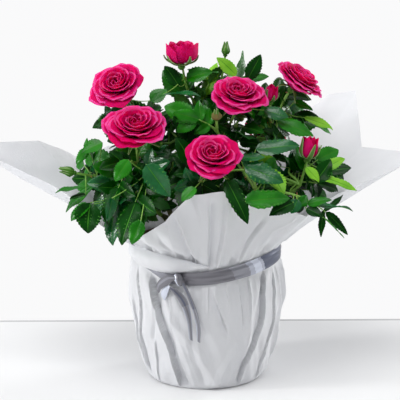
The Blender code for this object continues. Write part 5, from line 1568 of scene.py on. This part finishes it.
def sheet_relief(azimuths, radii, heights, points):
    """How far each point moves outward: dents, creases, loose folds, and gathers at the ribbon."""
    moved = dents(points)
    for crease in (*CREASES, *loose_folds()):
        moved = moved + crease_height(*crease, azimuths, radii, heights)
    ties = np.array([tie_height(a) for a in azimuths])
    from_tie = np.abs(heights - ties) - RIBBON_WIDTH / 2
    turns, above = np.radians(azimuths), heights > ties
    moved = moved + pleats(turns, from_tie, above) - tuck(azimuths, heights) + drape(turns, heights, above)
    return moved * swell(heights, 0.0, 0.006) * swell(from_tie, -0.0005, 0.004)


def clear_of_pot(points):
    """The same points, no nearer the axis than the pot inside."""
    radii = np.hypot(points[..., 0], points[..., 1])
    least = np.interp(points[..., 2], *zip(*POT_SHAPE)) + POT_CLEARANCE
    scale = np.maximum(1.0, least / np.maximum(1e-6, radii))
    return points * np.stack([scale, scale, np.ones_like(scale)], -1)


def paper_finish(name, colour, other, roughness):
    """The material of one side of the sheet."""
    look = {"Subsurface Weight": 0.5, "Subsurface Radius": (1.0, 1.0, 1.0), "Subsurface Scale": 0.0012}
    return Finish(name, colour, other, 30.0, roughness, 0.28, 1300.0, (1, 1, 0.35)).given(look)


# The inner side is the same paper painted a little darker: painted shade.
PAPER_FINISHES = [
    paper_finish("paper", (0.74, 0.75, 0.785), (0.79, 0.80, 0.83), 0.82),
    paper_finish("paper_inside_shaded", (0.70, 0.71, 0.74), (0.745, 0.755, 0.78), 0.85),
]
PAPER, SHADED_INSIDE = range(2)


def outward(normals, points, row, column):
    """The normals, turned to the side away from the axis at one point of the grid."""
    return -normals if float(normals[row, column] @ points[row, column]) < 0 else normals


def build_wrap():
    """The sheet round the pot: skirt, neck and flared collar, with its layers' edges and folds."""
    azimuths, radii, heights = sheet_grid()
    smooth = on_sheet(azimuths, radii, heights)
    normals = grid_normals(np.concatenate([smooth, smooth[:, :1]], 1))[:, :-1]
    normals = outward(normals, smooth, 30, 10)
    outer = clear_of_pot(smooth + normals * sheet_relief(azimuths, radii, heights, smooth)[..., None])
    outer[0], outer[1] = smooth[0], smooth[1]
    inner = outer - normals * SHEET_THICKNESS
    inner[:2] = outer[:2] + UP * SHEET_THICKNESS
    rows, columns = outer.shape[:2]
    faces = quads(rows, columns, closed=True)
    count = rows * columns
    ends = []
    for row, order in ((0, 1), (rows - 1, -1)):
        edge = row * columns + np.arange(columns)
        after = np.roll(edge, -1)
        ends.append(np.stack([after, edge, edge + count, after + count], 1)[:, ::order])
    made = np.concatenate([faces, faces[:, ::-1] + count, *ends])
    tints = [PAPER] * len(faces) + [SHADED_INSIDE] * len(faces) + [PAPER] * 2 * columns
    sheaf = Sheaf("paper_wrap", "paper", ["wrap"], PAPER_FINISHES)
    sheaf.add(np.concatenate([outer.reshape(-1, 3), inner.reshape(-1, 3)]), made, tints)
    sheaf.done(70)


def build_roll():
    """The puff of sheet that rolls down over the ribbon beside the knot."""
    azimuths = np.linspace(ROLL[0][0], ROLL[-1][0], ROLL_COLUMNS)
    turns, tops, feet = np.array(ROLL).T
    top, foot = np.interp(azimuths, turns, tops) * MM, np.interp(azimuths, turns, feet) * MM
    share = np.linspace(0, 1, ROLL_ROWS)[:, None]
    taper = np.sin(np.pi * np.linspace(0.05, 0.95, ROLL_COLUMNS)) ** 0.6
    lines = [np.array([collar(a, s) for s in np.linspace(0, 1, 12)]).T for a in azimuths]
    start = np.array([np.interp(h, line[1], line[0]) for h, line in zip(top, lines)]) - ROLL_SINK
    end = WRAP_NECK_RADIUS + ROLL_STANDOFF
    heights = top + (foot - top) * share**0.9 + ROLL_CREST * taper * np.sin(np.pi * share) * (1 - share)
    bulge = ROLL_SWELL * taper * np.sin(np.pi * share**0.8) ** 0.8
    ripple = np.sin(azimuths * 0.20 + 2.4 * np.sin(azimuths * 0.13) + 2 * share)
    ripple = ripple + 0.5 * np.sin(azimuths * 0.47 + 1.6 * np.sin(azimuths * 0.09) - 3 * share)
    radii = start + (end - start) * share + bulge + ROLL_RIPPLE * ripple * np.sin(np.pi * share)
    front = on_sheet(azimuths, radii, heights)
    normals = outward(grid_normals(front), front, 8, 40)
    sheaf = Sheaf("wrap_roll", "paper", ["wrap"], PAPER_FINISHES)
    add_shell(sheaf, front, normals, SHEET_THICKNESS, PAPER, SHADED_INSIDE, PAPER)
    sheaf.done(60)


# ---------------------------------------------------------------- the satin ribbon
# The satin's tones are lit and shaded copies of one grey satin: a painted blue shade, a painted shade, a
# middle tone, a painted soft highlight and a painted highlight.
SATIN_LIGHT_AND_SHADE_TONES = (tone(84, 90, 110), tone(118, 117, 124), tone(142, 143, 152), tone(178, 182, 196),
               tone(210, 215, 229))
SATIN_LOOK = {GLOSS: 0.8, "Metallic": 0.35}
SATIN_FINISHES = [Finish(f"satin_{number}", shade, shade, 18.0, 0.30, 0.05, 2600.0).given(SATIN_LOOK)
                  for number, shade in enumerate(SATIN_LIGHT_AND_SHADE_TONES)]
PAINTED_BLUE_SHADE, PAINTED_SHADE, MIDDLE, PAINTED_SOFT_HIGHLIGHT, PAINTED_HIGHLIGHT = range(5)
# Where the band's painted sheen and painted shade change, as it turns along its way round: azimuth and tone.
BAND_PAINTED_LIGHT = ((-112, PAINTED_SHADE), (-70, MIDDLE), (-56.5, PAINTED_SOFT_HIGHLIGHT), (-52, PAINTED_HIGHLIGHT), (-45, PAINTED_SOFT_HIGHLIGHT),
              (-42, PAINTED_BLUE_SHADE), (-8, PAINTED_SHADE), (30, MIDDLE), (75, PAINTED_SOFT_HIGHLIGHT), (100, MIDDLE), (150, PAINTED_SHADE),
              (200, MIDDLE))
BAND_ROWS = 15
BAND_EDGE, BAND_THICKNESS = 0.0003, 0.0004
BAND_LIFT, BAND_BOW = 0.0001, 0.00035  # off its radius, and how far its middle stands out past its edges
BAND_CREASE, KNOT_CREASE, BAND_WAVE = 0.00016, 0.0005, 0.00018
GATHER, GATHER_SPREAD = 0.30, 30  # the band's narrowing at the knot, and over how many degrees
# The knot's two turns of ribbon: how wide, deep and high each is, its lean and its number of creases.
KNOT_TURNS = ((0.0033, 0.0036, 0.0054, 0.35, 5), (0.0046, 0.0030, 0.0026, -0.45, 3))
KNOT_OUT, KNOT_ROUND, KNOT_UP = 0.0034, 3.0, 0.0004  # the knot's middle, off the band and its own place
# A run of columns on the knot's upright turn carries a painted highlight.
KNOT_ROWS, KNOT_COLUMNS, KNOT_PAINTED_HIGHLIGHT = 22, 40, range(11, 16)
RIBBON_COLUMNS, RIBBON_THICKNESS = 9, 0.00035
RIBBON_STANDOFF = 0.0620 + 0.0016  # the radius that the loop and the tails hang at
RIBBON_BOW, RIBBON_CREASE, CUT_SLANT = 0.0005, 0.00012, 0.6
HALF_WAY, NEVER = 0.5, 1.0
# The loop and the tails: the node each stands for and its lengths of ribbon. A length has its places over
# the wrap as (azimuth, height in millimetres). Along it come its widths, its twists in radians and how far
# it stands off, then its tones across, which paint the satin's shade and highlights, and the share of its
# length after which they turn one tone lighter, painted light towards its end.
RIBBON_ENDS = {
    "satin_loop": ("ribbon_loop", (
        (((-111, 95), (-115, 94), (-119, 91), (-123, 87), (-125, 82)),
         (3.4, 6.4, 7.6, 6.0, 2.6), (0.2, 0.1, 0, -0.1, -0.2), (2.4, 2.8, 2.6, 2.0, 0.8),
         (PAINTED_SHADE, PAINTED_SHADE, PAINTED_SHADE, PAINTED_SHADE, MIDDLE, MIDDLE, PAINTED_SHADE, PAINTED_SHADE), NEVER),
        # the loop's inner face, all painted highlight
        (((-115, 88), (-118, 85), (-120, 81), (-121, 77)),
         (2.0, 5.0, 6.0, 4.0), (0, 0, 0, 0), (1.6, 1.2, 0.8, 0.2), (PAINTED_HIGHLIGHT,) * 8, NEVER))),
    "satin_tail_left": ("ribbon_tail_left", (
        (((-115, 87), (-110, 83), (-106, 78), (-103, 70), (-101, 60), (-100, 46)),
         (2.4, 4.6, 6.4, 5.2, 3.6, 2.6), (0, 0.3, 0.1, 0.5, 0.7, 0.5), (1.6, 1.6, 1.4, 1.2, 1.0, 1.0),
         (MIDDLE, PAINTED_SHADE, PAINTED_SHADE, PAINTED_BLUE_SHADE, PAINTED_BLUE_SHADE, PAINTED_SHADE, PAINTED_SHADE, MIDDLE), HALF_WAY),)),
    "satin_tail_right": ("ribbon_tail_right", (
        (((-106, 91), (-103, 85), (-100, 77), (-97, 67), (-95, 56), (-95, 45)),
         (2.6, 3.4, 3.8, 3.8, 3.4, 2.6), (0, -0.5, -0.4, -0.6, -0.3, -0.5), (1.2, 1.0, 0.8, 0.8, 0.8, 0.8),
         (PAINTED_SHADE, PAINTED_SHADE, PAINTED_BLUE_SHADE, PAINTED_BLUE_SHADE, PAINTED_SHADE, PAINTED_SHADE, MIDDLE, MIDDLE), HALF_WAY),)),
}


def around(radius, azimuth, height):
    """Points about the axis at a radius, an azimuth and a height."""
    turn = np.radians(azimuth)
    return np.stack([radius * np.cos(turn), radius * np.sin(turn), height + 0 * turn], -1)


def build_band():
    """The band: nearly flat, with long soft creases that run together at the knot, its sheen and shade
    painted in tones by azimuth.
    """
    azimuths = np.linspace(KNOT_AZIMUTH, KNOT_AZIMUTH + 360, 361)
    ties = np.array([tie_height(a) for a in azimuths])
    across = np.linspace(-1, 1, BAND_ROWS)[:, None]
    near = np.exp(-np.abs(turn_between(azimuths, KNOT_AZIMUTH)) / GATHER_SPREAD)
    half = (RIBBON_WIDTH / 2 - BAND_EDGE) * (1 - GATHER * near)
    turns = np.radians(azimuths)
    creases = (BAND_CREASE + KNOT_CREASE * near) * np.sin(6.2 * across + 1.4 * np.sin(turns * 3))
    waves = BAND_WAVE * np.sin(11 * across + turns * 5) * np.cos(turns * 2.0)
    radii = RIBBON_RADIUS + BAND_LIFT + BAND_BOW * (1 - across**2) + creases * 0.7 + waves
    front = around(radii, azimuths, ties + across * half)
    # Tones dealt by azimuth paint the band's highlights and shade.
    starts, shades = np.array(BAND_PAINTED_LIGHT).T
    along = azimuths[:-1] + 3 * (across[:-1] + 0.1) + 1.5 * across[:-1] ** 2
    tints = shades.astype(int)[np.searchsorted(starts, np.maximum(along, starts[0])) - 1]
    sheaf = Sheaf("satin_band", "satin", ["ribbon_band"], SATIN_FINISHES)
    add_shell(sheaf, front, unit(front * FLAT), BAND_THICKNESS, tints, MIDDLE, MIDDLE)
    sheaf.done(50)


def build_knot():
    """The knot: two turns of ribbon pulled tight over each other, with gathered creases, in painted shade
    with a painted highlight down its upright turn.
    """
    middle = around(RIBBON_RADIUS + KNOT_OUT, KNOT_AZIMUTH + KNOT_ROUND, KNOT_HEIGHT + KNOT_UP)
    out = unit(middle * FLAT)
    side = np.cross(UP, out)
    sheaf = Sheaf("satin_knot", "satin", ["ribbon_knot"], SATIN_FINISHES)
    latitudes = np.linspace(0.02, 0.98, KNOT_ROWS)[:, None] * np.pi
    turns = np.linspace(0, 2 * np.pi, KNOT_COLUMNS + 1)[None, :-1]
    for wide, deep, high, lean, folds in KNOT_TURNS:
        pull = 1 + 0.10 * np.sin(folds * turns + 2.5 * np.cos(latitudes))
        pull = pull + 0.06 * np.sin(9 * turns - 3 * latitudes)
        x = np.sin(latitudes) * np.cos(turns) * pull * wide
        y = np.sin(latitudes) * np.sin(turns) * pull * deep
        z = (np.cos(latitudes) + 0 * turns) * high
        x, z = x * math.cos(lean) - z * math.sin(lean), x * math.sin(lean) + z * math.cos(lean)
        points = middle + side * x[..., None] + out * y[..., None] + UP * z[..., None]
        faces = quads(KNOT_ROWS, KNOT_COLUMNS, closed=True).tolist()
        painted_highlight_columns = KNOT_PAINTED_HIGHLIGHT if high > wide else ()
        shades = [PAINTED_HIGHLIGHT if i % KNOT_COLUMNS in painted_highlight_columns else PAINTED_SHADE for i in range(len(faces))]
        last = (KNOT_ROWS - 1) * KNOT_COLUMNS
        faces += [list(range(KNOT_COLUMNS))[::-1], list(range(last, last + KNOT_COLUMNS))]
        sheaf.add(points, faces, shades + [PAINTED_SHADE, PAINTED_SHADE])
    sheaf.done(50)


def add_ribbon(sheaf, places, widths, twists, lifts, shades, painted_lighter_after):
    """A length of ribbon over the wrap, in the terms of RIBBON_ENDS."""
    azimuths, heights = smooth_line([(a, h * MM, 0) for a, h in places], 8)[:, :2].T
    steps = np.linspace(0, 1, len(azimuths))
    given = np.linspace(0, 1, len(widths))
    width, twist, lift = (np.interp(steps, given, values) for values in (widths, twists, lifts))
    line = around(RIBBON_STANDOFF + lift * MM, azimuths, heights)
    out = unit(line * FLAT)
    way = unit(np.gradient(line, axis=0))
    side = unit(cross(way, out))
    face = cross(side, way)
    across = np.linspace(-1, 1, RIBBON_COLUMNS)[None, :, None]
    twist, steps_on, half = twist[:, None], steps[:, None, None], (width * MM / 2)[:, None, None]
    flat_way = side * np.cos(twist) + face * np.sin(twist)
    bow = face * np.cos(twist) - side * np.sin(twist)
    front = line[:, None] + flat_way[:, None] * across * half
    bulge = RIBBON_BOW * (1 - across**2) + RIBBON_CREASE * np.sin(9 * across + 14 * steps_on)
    front = front + bow[:, None] * bulge - way[:, None] * across * half * CUT_SLANT * steps_on**6
    # Past the given share each tone steps one lighter: painted light towards the end.
    tints = np.array(shades)[None] + (steps[:-1, None] > painted_lighter_after)
    normals = np.repeat(bow[:, None], RIBBON_COLUMNS, 1)
    add_shell(sheaf, front, normals, RIBBON_THICKNESS, tints, MIDDLE, MIDDLE)


def build_loop_and_tails():
    """The ribbon's loop and its two tails."""
    for name, (node, lengths) in RIBBON_ENDS.items():
        sheaf = Sheaf(name, "satin", [node], SATIN_FINISHES)
        for length in lengths:
            add_ribbon(sheaf, *length)
        sheaf.done(50)


# ---------------------------------------------------------------- pot and soil
POT_FINISH = Finish("pot_plastic", tone(96, 52, 34), tone(112, 62, 42), 50.0, 0.42, 0.15, 500.0)
SOIL_FINISH = Finish("soil", tone(44, 32, 24), tone(78, 58, 42), 260.0, 0.95, 0.9, 900.0)


CRUMBS, CRUMB_SIZES = 420, (0.0006, 0.0019)
CRUMB_LINE = np.array([[-1, 0, 0], [-0.4, 0.2, 0.1], [0.5, -0.1, 0.2], [1, 0.1, 0]])
CRUMB_RADII = np.array((0.5, 0.9, 0.8, 0.4))
SOIL_DROP = 0.0012  # the looks of the soil lie this far below its packed top
SOIL_FOOT = 0.80  # its lower radius, by its upper one
SOIL_EDGE, SOIL_BUMPS = 0.0004, 0.0011
CRUMB_REACH, CRUMB_DROP = 0.95, 0.0008  # how far out crumbs lie, by the soil's radius, and how deep


def soil_bed():
    """Verts and faces of a closed bed of soil with an uneven top."""
    low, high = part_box("soil")[0].z, SOIL_TOP - SOIL_DROP
    turns = np.radians(np.arange(0, 360, 4.0))
    rings = np.linspace(0.02, 1, 22)
    x, y = (np.outer(rings, f(turns)) * (SOIL_RADIUS - SOIL_EDGE) for f in (np.cos, np.sin))
    bumps = SOIL_BUMPS * np.sin(x * 310 + 2 * np.sin(y * 190)) * np.sin(y * 350 + np.sin(x * 240))
    top = np.stack([x, y, high + bumps * (rings < 0.98)[:, None]], -1)
    under = top * np.array([SOIL_FOOT, SOIL_FOOT, 0.0]) + UP * low
    rows, columns = top.shape[:2]
    verts = np.concatenate([top.reshape(-1, 3), under[-1], [[0, 0, high], [0, 0, low]]])
    faces = quads(rows, columns, closed=True).tolist()
    count = rows * columns
    for k in range(columns):
        after = (k + 1) % columns
        faces.append([count + k, count + after, count - columns + after, count - columns + k])
        faces.append([after, k, count + columns])
        faces.append([count + k, count + after, count + columns + 1])
    return verts, faces


def build_soil():
    """Damp potting soil, uneven, with crumbs lying on it."""
    draw = random.Random(97)
    sheaf = Sheaf("potting_soil", "soil", ["soil"], [SOIL_FINISH.made])
    sheaf.add(*soil_bed(), 0)
    for _ in range(CRUMBS):
        reach, turn = SOIL_RADIUS * CRUMB_REACH * math.sqrt(draw.random()), draw.uniform(*ANY_TURN)
        size = draw.uniform(*CRUMB_SIZES)
        middle = np.array([reach * math.cos(turn), reach * math.sin(turn), SOIL_TOP - CRUMB_DROP])
        add_limb(sheaf, middle + CRUMB_LINE * size, size * CRUMB_RADII, 6, 0)
    sheaf.done(60)


def show_pot():
    """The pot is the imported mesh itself, in its own material."""
    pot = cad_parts["pot"]
    for i in range(max(1, len(pot.material_slots))):
        if pot.material_slots:
            pot.material_slots[i].material = POT_FINISH.made


# ---------------------------------------------------------------- the studio
EYE_DISTANCE = 1.15
EYE_ELEVATION = math.radians(12.0)
EYE_TARGET = (-0.0044, 0.0, 0.1430)
EYE_LENS, SENSOR_WIDTH = 129.33, 36.0
NEAREST, FARTHEST = 0.05, 20.0
FLOOR_END = 0.1450
FLOOR_SLANT = 0.045
FLOOR_END_SHADE_LINE = 0.005
FLOOR_REACH, FLOOR_DROP = 3, 0.0003
LIGHT_TARGET = (0, 0, 0.12)
# Lights: place, size and watts.
LIGHTS = {
    "top": ((-0.2, -0.80, 2.0), (1.3, 1.0), 24),
    "left": ((-2.1, -0.50, 0.75), (0.40, 0.5), 24),
    "right": ((1.70, 1.10, 0.42), (0.5, 0.7), 20),
}
BRIGHT_WAY = (0.0, 0.6, 0.8)  # the sky is brightest this way
SKY_DARK, SKY_BRIGHT, SKY_STRENGTH = (0.15, 0.15, 0.16, 1), (0.97, 0.98, 1.0, 1), 0.76
BACKGROUND = (0.955, 0.955, 0.96, 1)


def add_light(name, place, size, power):
    """A soft rectangular light, turned to the plant."""
    light = bpy.data.lights.new(name, "AREA")
    light.shape, light.size, light.size_y = "RECTANGLE", size[0], size[1]
    light.energy = power
    lamp = bpy.data.objects.new(name, light)
    bpy.context.scene.collection.objects.link(lamp)
    lamp.location = place
    way = np.array(place) - np.array(LIGHT_TARGET)
    lamp.rotation_mode = "QUATERNION"
    lamp.rotation_quaternion = mathutils.Vector(way).to_track_quat("Z", "Y")


def build_floor():
    """A pale table top whose far edge shows as a thin grey line, painted shade along that edge."""
    table = Finish("table", (0.76, 0.76, 0.76), (0.78, 0.78, 0.78), 3.0, 0.6, 0.02, 200.0)
    # The grey strip along the far edge is painted shade.
    edge = Finish("table_edge_shade", (0.50, 0.50, 0.505), (0.54, 0.54, 0.545), 3.0, 0.6)
    left, right, line, far = FLOOR_END - FLOOR_SLANT, FLOOR_END + FLOOR_SLANT, FLOOR_END_SHADE_LINE, FLOOR_REACH
    verts = [(-far, -far, 0), (far, -far, 0), (far, right - line, 0), (-far, left - line, 0),
             (far, right, 0), (-far, left, 0)]
    mesh = bpy.data.meshes.new("floor")
    mesh.from_pydata(verts, [], [(0, 1, 2, 3), (3, 2, 4, 5)])
    mesh.materials.append(table.given({GLOSS: 0.1}))
    mesh.materials.append(edge.given({GLOSS: 0.1}))
    mesh.polygons[1].material_index = 1
    floor = bpy.data.objects.new("floor", mesh)
    bpy.context.scene.collection.objects.link(floor)
    floor.location.z = -FLOOR_DROP


def build_world():
    """Soft light from everywhere, brightest from behind and above, and a white background."""
    world = bpy.data.worlds.new("studio")
    bpy.context.scene.world = world
    world.use_nodes = True
    tree = world.node_tree
    light, back = tree.nodes["Background"], tree.nodes.new("ShaderNodeBackground")
    place, lean = tree.nodes.new("ShaderNodeTexCoord"), tree.nodes.new("ShaderNodeVectorMath")
    ramp, spread = tree.nodes.new("ShaderNodeValToRGB"), tree.nodes.new("ShaderNodeMapRange")
    path, mix = tree.nodes.new("ShaderNodeLightPath"), tree.nodes.new("ShaderNodeMixShader")
    lean.operation = "DOT_PRODUCT"
    lean.inputs[1].default_value = BRIGHT_WAY
    tree.links.new(place.outputs["Generated"], lean.inputs[0])
    tree.links.new(lean.outputs["Value"], spread.inputs["Value"])
    spread.inputs["From Min"].default_value = -1.0
    spread.inputs["From Max"].default_value = 1.0
    tree.links.new(spread.outputs["Result"], ramp.inputs["Fac"])
    ramp.color_ramp.elements[0].color = SKY_DARK
    ramp.color_ramp.elements[1].color = SKY_BRIGHT
    tree.links.new(ramp.outputs["Color"], light.inputs["Color"])
    light.inputs["Strength"].default_value = SKY_STRENGTH
    back.inputs["Color"].default_value = BACKGROUND
    tree.links.new(path.outputs["Is Camera Ray"], mix.inputs["Fac"])
    tree.links.new(light.outputs["Background"], mix.inputs[1])
    tree.links.new(back.outputs["Background"], mix.inputs[2])
    tree.links.new(mix.outputs["Shader"], tree.nodes["World Output"].inputs["Surface"])


def build_camera():
    """The camera, level with the front and a little above it."""
    lens = bpy.data.cameras.new("camera")
    lens.lens, lens.sensor_width = EYE_LENS, SENSOR_WIDTH
    lens.clip_start, lens.clip_end = NEAREST, FARTHEST
    camera = bpy.data.objects.new("camera", lens)
    bpy.context.scene.collection.objects.link(camera)
    x, y, z = EYE_TARGET
    back, up = EYE_DISTANCE * math.cos(EYE_ELEVATION), EYE_DISTANCE * math.sin(EYE_ELEVATION)
    camera.location = (x, y - back, z + up)
    camera.rotation_euler = (math.pi / 2 - EYE_ELEVATION, 0, 0)
    bpy.context.scene.camera = camera


def build_studio():
    """The floor, the sky, the camera and the lights."""
    build_floor()
    build_world()
    build_camera()
    for name, light in LIGHTS.items():
        add_light(name, *light)
    bpy.context.scene.view_settings.view_transform = "Standard"


plan = Plan()
build_foliage(plan)
build_limbs(plan)
build_blooms(plan)
build_wrap()
build_roll()
build_band()
build_knot()
build_loop_and_tails()
build_soil()
show_pot()
build_studio()
